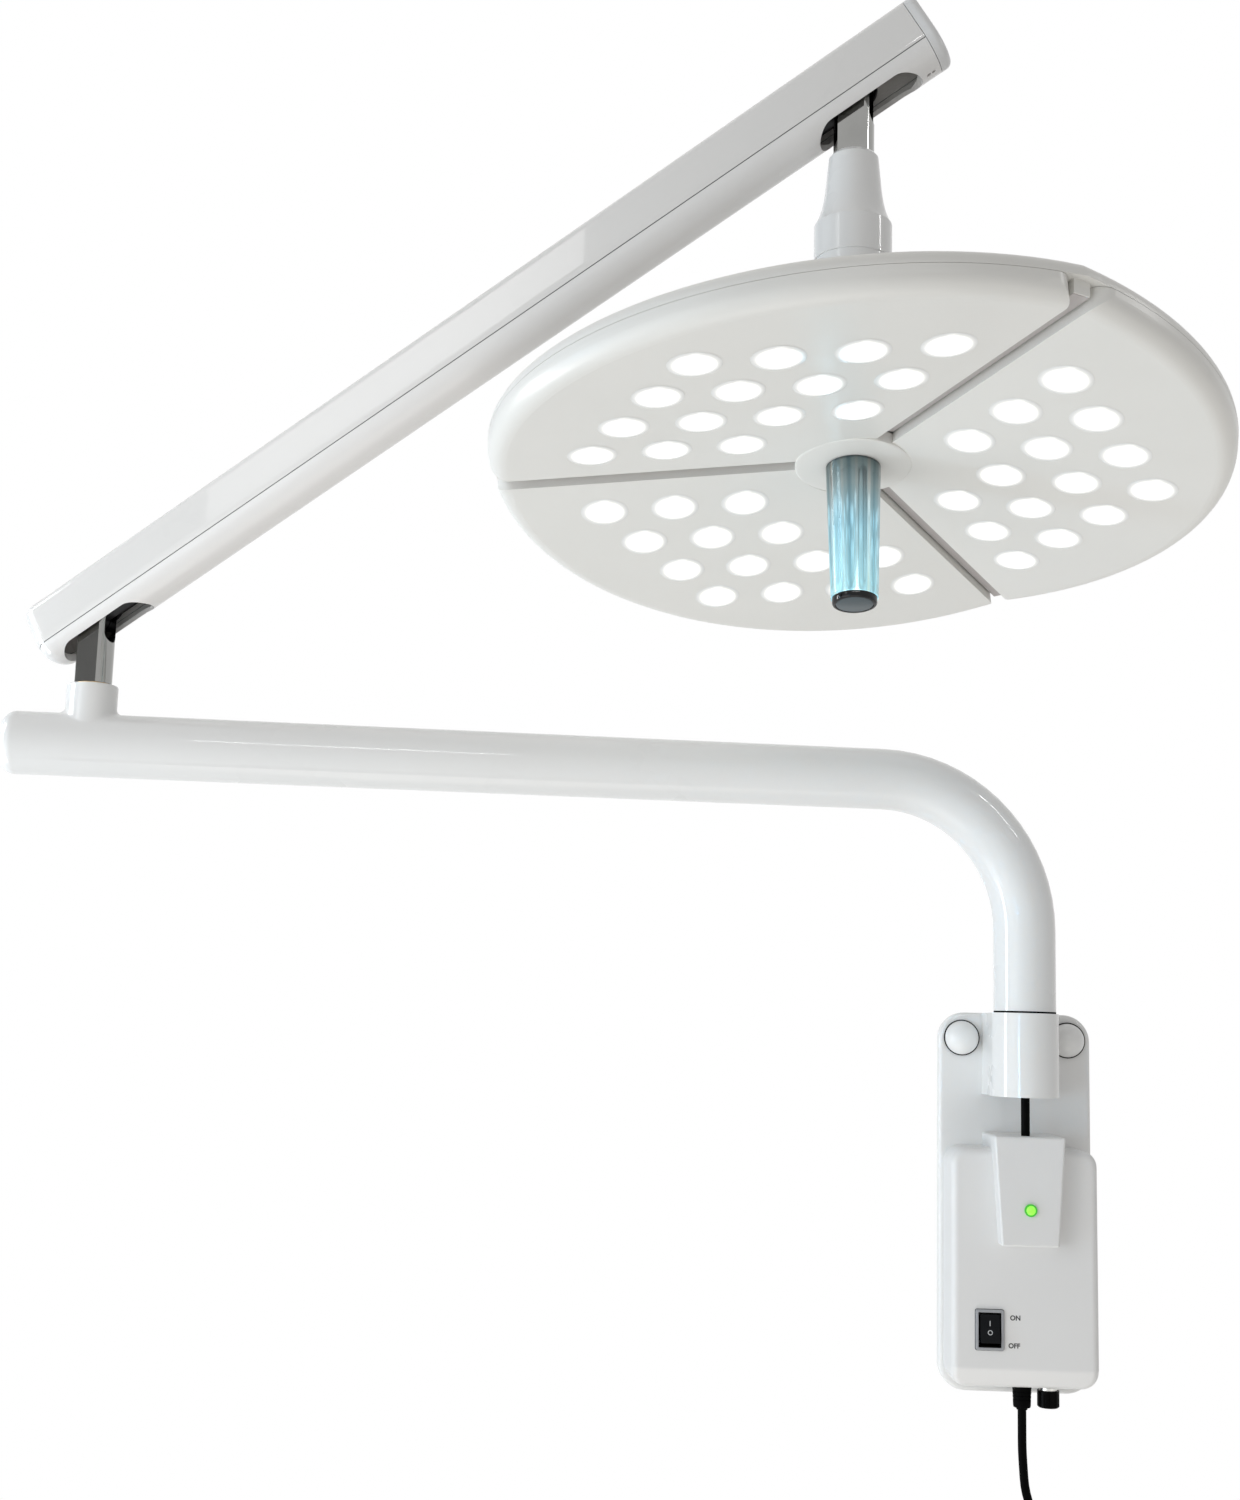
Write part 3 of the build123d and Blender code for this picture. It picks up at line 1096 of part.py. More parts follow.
def cord_coil():
    down = Vector(0, 0, -1)
    count = round(4 * COIL_LAYERS * COIL_LEG)
    marks = [COIL_LAYERS * COIL_LEG * index / count for index in range(count + 1)]
    start, end = coil_point(marks[0]), coil_point(marks[-1])
    edges = [Edge.make_line(start - down * 2 * CORD_R, start)]
    for low, high in zip(marks, marks[1:]):
        edges += biarc(coil_point(low), coil_tangent(low), coil_point(high), coil_tangent(high))
    edges.append(Edge.make_line(end, end + down * 2 * CORD_R))
    path = Wire(edges)
    section = Plane(origin=start - down * 2 * CORD_R, z_dir=down) * Circle(CORD_R)
    samples = 96 * COIL_LAYERS
    dense = [coil_point(COIL_LAYERS * COIL_LEG * index / samples) for index in range(samples + 1)]
    apart = round(samples / (COIL_LAYERS * COIL_LEG) / 2)
    gap = min(
        (dense[i] - dense[j]).length for i in range(samples + 1) for j in range(i + apart, samples + 1)
    )
    print("coil length", round(path.length), "least gap", round(gap - 2 * CORD_R, 2))
    return sweep(section, path=path), start - down * 2 * CORD_R, end + down * 2 * CORD_R


def mains_cord(coil_start):
    depth = -FITTINGS_FROM_WALL
    points = [Vector(0, depth, cover_bottom - GLAND_LENGTH), Vector(0, depth, -212), Vector(2, depth, -250)]
    points += [Vector(coil_start.X, depth, coil_start.Z + 23), coil_start]
    runs = [(b - a) for a, b in zip(points, points[1:])]
    radii = []
    for before, after in zip(runs, runs[1:]):
        half_turn = math.radians(before.get_angle(after)) / 2
        radii.append(0.45 * min(before.length, after.length) / math.tan(half_turn))
    print("cord radii", [round(radius) for radius in radii])
    path = FilletPolyline(*points, radius=radii)
    print("cord length", round(path.length))
    return sweep(Plane(origin=points[0], z_dir=runs[0]) * Circle(CORD_R), path=path)


def cord_tie():
    """A band round the bundle on the coil's left, where no turn steps out to the plug."""
    radii = [coil_radius(turn + 0.5) for turn in range(int(COIL_LAYERS * COIL_LEG))]
    room = CORD_R + 2 * SEAT
    low, high = min(radii) - room, max(radii) + room
    near = FITTINGS_FROM_WALL - room
    far = FITTINGS_FROM_WALL + (COIL_LAYERS - 1) * COIL_PITCH + room
    inside = block((-TIE_BAND_WIDTH, TIE_BAND_WIDTH), (-far, -near), (low, high))
    thick = TIE_BAND_THICKNESS
    half = TIE_BAND_WIDTH / 2
    outside = block((-half, half), (-far - thick, thick - near), (low - thick, high + thick))
    outside = fillet(outside.edges().filter_by(Axis.X), thick)
    return Pos(COIL_CENTRE[0], 0, COIL_CENTRE[1]) * Rotation(0, -90, 0) * (outside - inside)


def mains_plug(start):
    width, depth, height = PLUG_BODY
    body = Pos(0, 0, -height / 2) * Box(width, depth, height)
    body = fillet(body.edges().filter_by(Axis.Z), PLUG_EDGE_R)
    body = chamfer(body.faces().sort_by(Axis.Z)[-1].edges(), PLUG_EDGE_R / 2)
    for side in (-1, 1):
        body += Pos(side * PLUG_PIN_SPACING / 2, 0) * rod(PLUG_PIN_R, -height - PLUG_PIN_LENGTH, -height)
    return Pos(*start) * body


# ---- Write every node ----------------------------------------------------------------
here = Location()
swivel_axis = Pos(0, -SWIVEL_FROM_WALL, 0)
hood_top = cover_top + HOOD_RISE

keep("wall_plate", wall_front, wall_plate())
keep("swivel_block", here, swivel_block())
bush_places = (block_bottom + CLIP_POCKET, block_top - SWIVEL_BUSH_HEIGHT)
keep("swivel_bushes", swivel_axis, *[swivel_bush(low) for low in bush_places])
keep("thrust_washer", swivel_axis, ring(TUBE_R, SPINDLE_R + SEAT, block_top, tube_start))
keep("block_screws", wall_front, *[block_screw(x, z) for x, z in block_screw_places()])
upper_bolts = [place for place in bolt_places() if place[1] > 0]
keep("bolt_caps", wall_front, *[bolt_cap(x, z) for x, z in upper_bolts])
keep("cap_rings", wall_front, *[cap_ring(x, z) for x, z in upper_bolts])

cover_outside = cover_block(0)
keep("power_cover", wall_front, power_cover(cover_outside))
keep("cover_screws", wall_front, *[cover_screw(x) for x in (-COVER_SCREW_X, COVER_SCREW_X)])
keep("lead_hood", wall_front, lead_hood(cover_outside))
indicator_bezel, indicator_lens = indicator(hood_top)
keep("indicator_bezel", wall_front, indicator_bezel)
keep("indicator_lens", wall_front, indicator_lens)
lead_end = hood_top - LEAD_INTO_HOOD
connector_y = -COVER_FRONT - CONNECTOR_SIZE[1] / 2
connector = Pos(0, connector_y, lead_end - CONNECTOR_SIZE[2] / 2) * Box(*CONNECTOR_SIZE)
keep("lead_connector", here, connector)
keep("arm_lead", swivel_axis, rod(LEAD_R, lead_end, block_bottom + LEAD_UP))
keep("switch_housing", wall_front, switch_housing())
keep("switch_rocker", wall_front, switch_rocker())
keep("led_driver", wall_front, led_driver())
dimmer_body, dimmer_nut, knob, dimmer_shaft = dimmer()
keep("dimmer_body", hang(DIMMER_X), dimmer_body)
keep("dimmer_nut", hang(DIMMER_X), dimmer_nut)
keep("brightness_knob", hang(DIMMER_X), knob)
keep("dimmer_shaft", hang(DIMMER_X), dimmer_shaft)
keep("cord_gland", hang(0), cord_gland())
coil, coil_start, coil_end = cord_coil()
keep("cord_coil", here, coil)
keep("mains_cord", here, mains_cord(coil_start))
keep("cord_tie", here, cord_tie())
keep("mains_plug", here, mains_plug(coil_end))

keep("swing_tube", swing_frame, swing_tube())
spindle, spindle_clip = swing_spindle()
keep("swing_spindle", swing_frame, spindle)
keep("spindle_clip", swing_frame, spindle_clip)
keep("tube_end_cap", swing_frame, tube_end_cap())
keep("post_bush", lower_post_frame, post_bush())

post_foot = BOSS_HEIGHT + POST_BUSH_FLANGE + SEAT - LOWER_PIVOT_RISE
lower_journal, lower_clip = journal(post_foot, JOURNAL_LENGTH)
lower_pivot_frame = lower_post_frame * Pos(0, 0, LOWER_PIVOT_RISE)
keep("lower_post", lower_pivot_frame, post_head(post_foot) + lower_journal)
keep("lower_post_clip", lower_pivot_frame, lower_clip)
keep("lower_link_pins", lower_pivot_frame, *link_pins())

upper_shell, lower_shell = arm_shells()
keep("arm_upper_shell", arm_frame, upper_shell)
keep("arm_lower_shell", arm_frame, lower_shell)
keep("arm_end_cap", arm_frame, arm_end_cap())
keep("arm_cap_screws", arm_frame, *[arm_cap_screw(x) for x in cap_screw_places()])
keep("arm_beam", arm_frame, arm_beam())
keep("spring_seat", arm_frame, spring_seat())
keep("balance_spring", arm_frame, balance_spring())
keep("tie_rod", tie_frame, tie_rod())

upper_foot = SEAT - NECK_TOP_DROP
upper_journal, upper_clip = journal(upper_foot, JOURNAL_LENGTH)
keep("upper_post", upper_post_frame, post_head(upper_foot) + upper_journal)
keep("upper_post_clip", upper_post_frame, upper_clip)
keep("upper_link_pins", upper_post_frame, *link_pins())

keep("neck_cover", neck_frame, neck_cover())
keep("neck_yoke", neck_frame, neck_yoke())
keep("neck_bush", neck_frame, neck_bush())
keep("tilt_pin", neck_frame * Pos(0, 0, -TILT_DROP), tilt_pin())
keep("tilt_washers", neck_frame * Pos(0, 0, -TILT_DROP), tilt_washer(-1), tilt_washer(1))

lobes = [head_frame * lobe_frame(index) for index in range(LOBE_COUNT)]
panel = front_panel()
keep("front_panels", here, *[lobe * panel for lobe in lobes])
keep("lenses", here, *[lobe * lens(x, y) for lobe in lobes for x, y in lens_places()])
board = led_board()
keep("led_boards", here, *[lobe * board for lobe in lobes])
keep("dish_housing", head_frame, dish_housing())
keep("hub_disc", head_frame, hub_disc())
keep("head_hub", head_frame, head_hub())
keep("handle_stem", head_frame, handle_stem())
keep("handle_grip", head_frame, handle_grip())
keep("handle_end_cap", head_frame, handle_end_cap())
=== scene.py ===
"""The looks of a wall-mounted operating light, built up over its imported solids.

The light is followed from the wall outwards: wall plate, power unit, swing arm, posts, spring arm,
neck, lamp head and mains cord, and then the room, the lamps and the camera. Metres throughout.
"""

import math

import bmesh
import bpy
from mathutils import Matrix, Vector


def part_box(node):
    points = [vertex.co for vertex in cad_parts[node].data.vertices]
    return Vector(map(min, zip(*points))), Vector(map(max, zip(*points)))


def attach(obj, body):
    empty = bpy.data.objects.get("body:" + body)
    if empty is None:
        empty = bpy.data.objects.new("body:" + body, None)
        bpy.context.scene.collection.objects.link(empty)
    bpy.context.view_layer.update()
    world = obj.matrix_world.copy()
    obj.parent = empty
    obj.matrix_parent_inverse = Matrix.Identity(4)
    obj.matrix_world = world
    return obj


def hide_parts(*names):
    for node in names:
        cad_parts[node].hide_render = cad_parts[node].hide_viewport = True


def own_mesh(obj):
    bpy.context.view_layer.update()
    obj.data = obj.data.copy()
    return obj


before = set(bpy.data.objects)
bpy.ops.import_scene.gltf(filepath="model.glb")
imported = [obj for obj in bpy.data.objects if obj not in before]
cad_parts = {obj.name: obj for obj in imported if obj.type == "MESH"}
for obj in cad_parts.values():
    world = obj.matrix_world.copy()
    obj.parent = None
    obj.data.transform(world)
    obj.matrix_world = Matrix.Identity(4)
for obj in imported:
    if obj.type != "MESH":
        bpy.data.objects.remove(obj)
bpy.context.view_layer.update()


# Wall plate and swivel block. Pressed and welded steel under cream-white gloss enamel, baked on, with
# the faint orange peel of sprayed paint. Four screws from behind hold the block, and four wall bolts
# go through the plate, the upper two under white domed covers.
class Wire:
    """A shader socket in arithmetic: each operator adds its Math node."""

    def __init__(self, socket):
        self.socket = socket

    @staticmethod
    def node(tree, kind, settings, sockets, out=0):
        """Adds one node: its settings come first, then the values or links of its sockets."""
        made = tree.nodes.new(kind)
        for name, value in settings.items():
            if name == "stops":
                ramp = made.color_ramp
                for spare in list(ramp.elements)[1:]:
                    ramp.elements.remove(spare)
                for index, (place, colour) in enumerate(value):
                    stop = ramp.elements.new(place) if index else ramp.elements[0]
                    stop.position = place
                    stop.color = colour
            else:
                setattr(made, name, value)
        for name, value in sockets.items():
            if isinstance(value, Wire):
                tree.links.new(value.socket, made.inputs[name])
            else:
                made.inputs[name].default_value = value
        return Wire(made.outputs[out])

    def into(self, shader, name):
        self.socket.id_data.links.new(self.socket, shader.inputs[name])

    def math(self, operation, *values):
        sockets = dict(enumerate(values))
        return Wire.node(self.socket.id_data, "ShaderNodeMath", {"operation": operation}, sockets)

    def __add__(self, other):
        return self.math("ADD", self, other)

    def __radd__(self, other):
        return self.math("ADD", other, self)

    def __sub__(self, other):
        return self.math("SUBTRACT", self, other)

    def __rsub__(self, other):
        return self.math("SUBTRACT", other, self)

    def __mul__(self, other):
        return self.math("MULTIPLY", self, other)

    def __rmul__(self, other):
        return self.math("MULTIPLY", other, self)


def bare_finish(name):
    """A new material with its tree and its surface shader."""
    material = bpy.data.materials.new(name)
    material.use_nodes = True
    return material, material.node_tree, material.node_tree.nodes["Principled BSDF"]


def mixed(tree, factor, first, second, blend="MIX"):
    """Two colours mixed, each a value or a link; on a Mix node they are sockets 6 and 7."""
    sockets = {"Factor": factor, 6: first, 7: second}
    return Wire.node(tree, "ShaderNodeMix", {"data_type": "RGBA", "blend_type": blend}, sockets, 2)


def finish_of(name, worn, fresh, roughness, spread, scale, bump=0.0, **surface):
    """A finish whose colour drifts between two close tones and whose gloss varies a little."""
    material, tree, shader = bare_finish(name)
    place = Wire.node(tree, "ShaderNodeTexCoord", {}, {}, "Object")
    drift = Wire.node(tree, "ShaderNodeTexNoise", {}, {"Vector": place, "Scale": scale, "Detail": 4.0})
    mixed(tree, drift, (*worn, 1), (*fresh, 1)).into(shader, "Base Color")
    (roughness + (drift - 0.5) * spread).into(shader, "Roughness")
    if bump:
        peel = {"Vector": place, "Scale": 900.0, "Detail": 2.0}
        grain = Wire.node(tree, "ShaderNodeTexNoise", {}, peel)
        heights = {"Height": grain, "Strength": bump, "Distance": 0.0003}
        Wire.node(tree, "ShaderNodeBump", {}, heights).into(shader, "Normal")
    for socket, value in surface.items():
        shader.inputs[socket.replace("_", " ")].default_value = value
    return material


def dress(material, slot, *names):
    """Gives carried-over solids their finish; their slot is not used."""
    for name in names:
        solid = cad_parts[name]
        solid.data.materials.clear()
        solid.data.materials.append(material)


enamel = finish_of(
    "cream_enamel", (0.80, 0.80, 0.79), (0.84, 0.84, 0.83), 0.28, 0.06, 9.0, bump=0.05,
    Specular_IOR_Level=0.10, Coat_Weight=0.5, Coat_Roughness=0.03,
)
dress(enamel, "cream_enamel", "wall_plate", "swivel_block")
moulding = finish_of(
    "white_moulding", (0.75, 0.75, 0.745), (0.795, 0.795, 0.79), 0.34, 0.08, 14.0, bump=0.04,
    Specular_IOR_Level=0.3,
)
dress(enamel, "white_housing", "bolt_caps")
rubber_black = ((0.001, 0.001, 0.001), (0.003, 0.003, 0.003))
black_trim = finish_of("black_trim", *rubber_black, 0.5, 0.15, 60.0, Specular_IOR_Level=0.02)
dress(black_trim, "black_plastic", "thrust_washer", "cap_rings")
zinc = finish_of("zinc_plate", (0.56, 0.56, 0.53), (0.70, 0.70, 0.68), 0.34, 0.16, 90.0, Metallic=1.0)
dress(zinc, "zinc_steel", "block_screws")
bronze = finish_of(
    "bearing_bronze", (0.46, 0.30, 0.12), (0.62, 0.42, 0.19), 0.38, 0.12, 120.0, Metallic=1.0,
)
dress(bronze, "bronze_bush", "swivel_bushes")


# Power unit. A white moulded cover over the LED driver, hooked on the plate and screwed from below. A
# tapered hood leads the arm's cable in and carries the green supply lamp; below sit the rocker switch
# and, underneath, the dimmer knob and the cord gland.
dress(moulding, "white_housing", "power_cover", "lead_hood")
dress(zinc, "zinc_steel", "cover_screws", "dimmer_nut", "dimmer_shaft")
dress(black_trim, "black_plastic", "lead_connector")
cast_case = finish_of(
    "cast_case", (0.46, 0.47, 0.49), (0.58, 0.59, 0.61), 0.5, 0.15, 110.0, Metallic=1.0,
)
dress(cast_case, "grey_aluminium", "led_driver")
dark_moulding = finish_of(
    "dark_moulding", (0.0006, 0.0006, 0.0006), (0.0016, 0.0016, 0.0016), 0.24, 0.08, 70.0,
    Specular_IOR_Level=0.03,
)
key_gloss = finish_of(
    "key_gloss", (0.003, 0.0035, 0.0045), (0.006, 0.007, 0.009), 0.22, 0.06, 120.0,
    Specular_IOR_Level=0.08,
)
dress(key_gloss, "black_plastic", "switch_rocker")
dress(dark_moulding, "dark_grey_plastic", "dimmer_body", "brightness_knob")
green_rim = finish_of(
    "green_rim", (0.03, 0.30, 0.02), (0.06, 0.42, 0.03), 0.2, 0.05, 300.0,
    Emission_Color=(0.06, 0.55, 0.03, 1), Emission_Strength=0.35,
)
dress(green_rim, "green_lamp", "indicator_bezel")
green_lamp = finish_of(
    "green_lamp", (0.10, 0.60, 0.03), (0.20, 0.75, 0.06), 0.15, 0.05, 300.0,
    Emission_Color=(0.32, 1.0, 0.06, 1), Emission_Strength=0.75,
)
dress(green_lamp, "green_lamp", "indicator_lens")
jacket = finish_of("rubber_jacket", *rubber_black, 0.5, 0.14, 160.0, Specular_IOR_Level=0.02)
dress(jacket, "black_rubber", "arm_lead")


def placed(name, data):
    """Links a new object of this mesh, curve or lamp into the scene."""
    made = bpy.data.objects.new(name, data)
    bpy.context.scene.collection.objects.link(made)
    return made


def object_of(name, shape, material):
    """Makes an object of a finished shape."""
    data = bpy.data.meshes.new(name)
    shape.to_mesh(data)
    shape.free()
    data.materials.append(material)
    return placed(name, data)


def piece(name, shape, place, material, slot, body, *stands_for):
    """A piece of the light: its place goes into the mesh, and it rides on its body."""
    shape.transform(place)
    made = object_of(name, shape, material)
    made.data.shade_smooth()
    made.data.set_sharp_from_angle(angle=math.radians(32))
    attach(made, body)
    if stands_for:
        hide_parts(*stands_for)
    return made


def turned(shape, rings, segments=48, hollow=False):
    """A turned solid about Z through rings of (height, radius); gives back each ring's vertices."""
    verts = bmesh.ops.create_circle(shape, cap_ends=not hollow, segments=segments, radius=1.0)["verts"]
    first = edges = list({edge for vert in verts for edge in vert.link_edges})
    made = []
    for height, radius in rings:
        if made:
            grown = bmesh.ops.extrude_edge_only(shape, edges=edges)["geom"]
            verts = [item for item in grown if isinstance(item, bmesh.types.BMVert)]
            fresh = set(verts)
            edges = [item for item in grown if isinstance(item, bmesh.types.BMEdge)]
            edges = [edge for edge in edges if fresh.issuperset(edge.verts)]
        for vert in verts:
            around = math.atan2(vert.co.y, vert.co.x)
            vert.co = (radius * math.cos(around), radius * math.sin(around), height)
        made.append(list(verts))
    if hollow:
        bmesh.ops.bridge_loops(shape, edges=first + edges)
    else:
        bmesh.ops.holes_fill(shape, edges=edges, sides=0)
    bmesh.ops.recalc_face_normals(shape, faces=shape.faces)
    return made


def centred_box(shape, size, middle=(0, 0, 0)):
    """A box by its size and its middle; gives back its vertices."""
    made = bmesh.ops.create_cube(shape, size=1.0)["verts"]
    bmesh.ops.scale(shape, verts=made, vec=size)
    bmesh.ops.translate(shape, verts=made, vec=middle)
    return made


def edges_along(verts, axis):
    """The edges among these vertices that run along one axis."""
    found = []
    for edge in {edge for vert in verts for edge in vert.link_edges}:
        run = edge.verts[1].co - edge.verts[0].co
        if abs(run[axis]) > 0.999 * run.length:
            found.append(edge)
    return found


def soften(shape, edges, width, segments=3):
    """Rounds these edges off."""
    bmesh.ops.bevel(
        shape, geom=edges, offset=width, offset_type="OFFSET", affect="EDGES", segments=segments,
        profile=0.5, material=-1, clamp_overlap=True,
    )


switch_low, switch_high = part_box("switch_housing")
switch_middle = (switch_low + switch_high) / 2
cover_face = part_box("power_cover")[0].y
to_wall = Matrix.Rotation(math.radians(90), 4, "X")
on_cover = Matrix.Translation((switch_middle.x, cover_face, switch_middle.z)) @ to_wall
flange = (switch_high.x - switch_low.x, switch_high.z - switch_low.z)
switch_opening = (0.0170, 0.0250)


def rectangular_ring(outer, inner, low, high, corner, edge):
    """A moulded frame: a rounded box with a rectangular well through it."""
    shape = bmesh.new()
    sides = centred_box(shape, (*outer, high - low), (0, 0, (low + high) / 2))
    soften(shape, edges_along(sides, 2), corner, 4)
    lids = [face for face in shape.faces if abs(face.normal.z) > 0.9]
    bmesh.ops.inset_individual(shape, faces=lids, thickness=corner * 0.5)
    for lid in lids:
        for vert in lid.verts:
            vert.co.x = math.copysign(min(abs(vert.co.x), inner[0] / 2), vert.co.x)
            vert.co.y = math.copysign(min(abs(vert.co.y), inner[1] / 2), vert.co.y)
    mouths = [edge for lid in lids for edge in lid.edges]
    bmesh.ops.delete(shape, geom=lids, context="FACES_ONLY")
    bmesh.ops.bridge_loops(shape, edges=mouths)
    joined = [e for e in shape.edges if len(e.link_faces) == 2]
    top = [e for e in joined if all(vert.co.z > high - 1e-6 for vert in e.verts)]
    rim = [e for e in top if any(abs(face.normal.z) < 0.5 for face in e.link_faces)]
    soften(shape, rim, edge, 2)
    bmesh.ops.recalc_face_normals(shape, faces=shape.faces)
    return shape


grey_moulding = finish_of("grey_moulding", (0.30, 0.31, 0.33), (0.38, 0.39, 0.41), 0.3, 0.1, 80.0)
# The thin black ring under the switch's rim is a painted shadow: it draws the dark gap round the rim's
# edge.
shadow_lip, rim_width, well_play = 0.00035, 0.0022, 0.00005
shadow_top, well_top, rim_top, well_floor = 0.0003, 0.0014, 0.0020, -0.0140
shadow_outer = (flange[0] + 2 * shadow_lip, flange[1] + 2 * shadow_lip)
rim_inner = (flange[0] - 2 * rim_width, flange[1] - 2 * rim_width)
well_outer = (rim_inner[0] - 2 * well_play, rim_inner[1] - 2 * well_play)
on_switch = ("wall_unit", "switch_housing")
rim_shadow_outline = rectangular_ring(shadow_outer, rim_inner, 0.0, shadow_top, 0.0018, 0.0001)
piece("switch_rim_shadow", rim_shadow_outline, on_cover, black_trim, "black_plastic", *on_switch)
rim_frame = rectangular_ring(flange, rim_inner, shadow_top, rim_top, 0.0016, 0.0007)
piece("switch_rim", rim_frame, on_cover, grey_moulding, "mid_grey_plastic", *on_switch)
well = rectangular_ring(well_outer, switch_opening, well_floor, well_top, 0.0008, 0.0003)
piece("switch_well", well, on_cover, dark_moulding, "black_plastic", *on_switch)

cord_from_wall, gland_end = 0.035, -0.178
gland = bmesh.new()
gland_rings = [(-0.1545, 0.0060), (-0.1602, 0.0060), (-0.1602, 0.0074), (-0.1608, 0.0076)]
first_groove, groove_pitch, groove_depth = -0.1640, 0.0030, 0.0004
relief_radius, relief_taper = 0.0075, 0.05
for index in range(3):
    groove = first_groove - index * groove_pitch
    wide = relief_radius - index * groove_pitch * relief_taper
    narrow = wide - groove_depth
    gland_rings += [(groove + 0.0008, wide), (groove + 0.0006, narrow), (groove, narrow)]
    gland_rings.append((groove - 0.0002, wide))
gland_rings += [(-0.1750, 0.0070), (-0.1761, 0.0067), (-0.1764, 0.0060), (-0.1766, 0.0046)]
gland_rings.append((gland_end, 0.0043))
turned(gland, gland_rings, 40)
gland_place = Matrix.Translation((0, -cord_from_wall, 0))
piece("cord_relief", gland, gland_place, jacket, "black_rubber", "wall_unit", "cord_gland")

# Marks of the switch. A stroke and a ring moulded into the key in white, and the words ON and OFF
# printed on the cover beside its two ends.
mark_white = finish_of("mark_white", (0.62, 0.63, 0.64), (0.72, 0.73, 0.74), 0.5, 0.1, 200.0)
key_rest, key_pivot_depth = math.radians(-8.0), 0.005
key_slope = math.atan2(0.0016, 0.011)
stroke_size, stroke_place = (0.0005, 0.0040, 0.0004), (0, 0.0052, 0.00735)
ring_radius, ring_hole, ring_height, ring_place = 0.0019, 0.0014, 0.0003, (0, -0.0040, 0.00725)
key_pivot = Matrix.Translation((switch_middle.x, cover_face + key_pivot_depth, switch_middle.z)) @ to_wall
key_turn = key_pivot @ Matrix.Rotation(key_rest, 4, "X")
marks = bmesh.new()
stroke = centred_box(marks, stroke_size)
upper_face = Matrix.Rotation(key_slope, 4, "X") @ Matrix.Translation(stroke_place)
bmesh.ops.transform(marks, matrix=upper_face, verts=stroke)
ring_verts = bmesh.ops.create_circle(marks, segments=32, radius=ring_radius)["verts"]
ring_verts += bmesh.ops.create_circle(marks, segments=32, radius=ring_hole)["verts"]
ring_edges = {edge for vert in ring_verts for edge in vert.link_edges}
ring_faces = bmesh.ops.bridge_loops(marks, edges=list(ring_edges))["faces"]
lifted = bmesh.ops.extrude_face_region(marks, geom=ring_faces)["geom"]
lifted_verts = [item for item in lifted if isinstance(item, bmesh.types.BMVert)]
bmesh.ops.translate(marks, verts=lifted_verts, vec=(0, 0, ring_height))
lower_face = Matrix.Rotation(-key_slope, 4, "X") @ Matrix.Translation(ring_place)
bmesh.ops.transform(marks, matrix=lower_face, verts=ring_verts + lifted_verts)
bmesh.ops.recalc_face_normals(marks, faces=marks.faces)
piece("rocker_marks", marks, key_turn, mark_white, "white_housing", "switch_key")


def printed_word(shape, word, middle, cap_height):
    """A word in bold raised print, a tenth of a millimetre thick."""
    text = bpy.data.curves.new(word, "FONT")
    text.body = word
    text.align_x = "CENTER"
    text.align_y = "CENTER"
    text.extrude = 0.012
    text.offset = 0.028
    text.resolution_u = 4
    carrier = placed(word, text)
    bpy.context.view_layer.update()
    drawn = carrier.evaluated_get(bpy.context.evaluated_depsgraph_get())
    flat = bpy.data.meshes.new_from_object(drawn)
    bpy.data.objects.remove(carrier)
    bpy.data.curves.remove(text)
    before = len(shape.verts)
    shape.from_mesh(flat)
    shape.verts.ensure_lookup_table()
    added = list(shape.verts)[before:]
    height = max(v.co.y for v in added) - min(v.co.y for v in added)
    size = cap_height / height
    bmesh.ops.scale(shape, verts=added, vec=(size, size, size))
    bmesh.ops.translate(shape, verts=added, vec=(*middle, 0.00004))
    bpy.data.meshes.remove(flat)


word_ink = finish_of("word_ink", (0.006, 0.006, 0.007), (0.012, 0.012, 0.013), 0.5, 0.1, 300.0)
words, cap_height = bmesh.new(), 0.0040
printed_word(words, "ON", (0.0205, 0.0095), cap_height)
printed_word(words, "OFF", (0.0195, -0.0120), cap_height)
piece("switch_words", words, on_cover, word_ink, "black_plastic", "wall_unit")


# Swing arm. A steel tube of 50 mm bent through a right angle, with the post's boss welded on and the
# whole enamelled; its spindle turns in the block on bronze bushes, kept by a spring clip. The packed
# tube bends at 100 mm, the real one more gently, so its copy's bend is eased to 120 mm.
dress(enamel, "cream_enamel", "tube_end_cap")
arm_to_wall, axis_from_wall, tube_rise, swing_reach = math.radians(7.5), 0.056, 0.188, 0.760
swing_frame = Matrix.Translation((0, -axis_from_wall, 0)) @ Matrix.Rotation(math.pi + arm_to_wall, 4, "Z")
tube_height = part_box("swivel_block")[1].z + tube_rise
solid_bend, eased_bend = 0.100, 0.120
bent_tube = bmesh.new()
bent_tube.from_mesh(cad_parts["swing_tube"].data)
bent_tube.transform(swing_frame.inverted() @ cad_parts["swing_tube"].matrix_world)
bmesh.ops.remove_doubles(bent_tube, verts=bent_tube.verts, dist=1e-6)
for vert in bent_tube.verts:
    inward, upward = solid_bend - vert.co.x, vert.co.z - tube_height + solid_bend
    if inward > -1e-5 and upward > -1e-5:
        around = math.atan2(max(0.0, upward), max(0.0, inward))
        radius = math.hypot(inward, upward) + eased_bend - solid_bend
        vert.co.x = eased_bend - radius * math.cos(around)
        vert.co.z = tube_height - eased_bend + radius * math.sin(around)
piece("bent_tube", bent_tube, swing_frame, enamel, "cream_enamel", "swing_arm", "swing_tube")
ground = finish_of(
    "ground_steel", (0.50, 0.50, 0.51), (0.62, 0.62, 0.63), 0.22, 0.1, 140.0, Metallic=1.0,
)
dress(ground, "bright_steel", "swing_spindle")
sprung = finish_of(
    "spring_steel", (0.10, 0.10, 0.11), (0.20, 0.20, 0.22), 0.35, 0.14, 150.0, Metallic=1.0,
)
dress(sprung, "spring_steel", "spindle_clip")
dress(bronze, "bronze_bush", "post_bush")


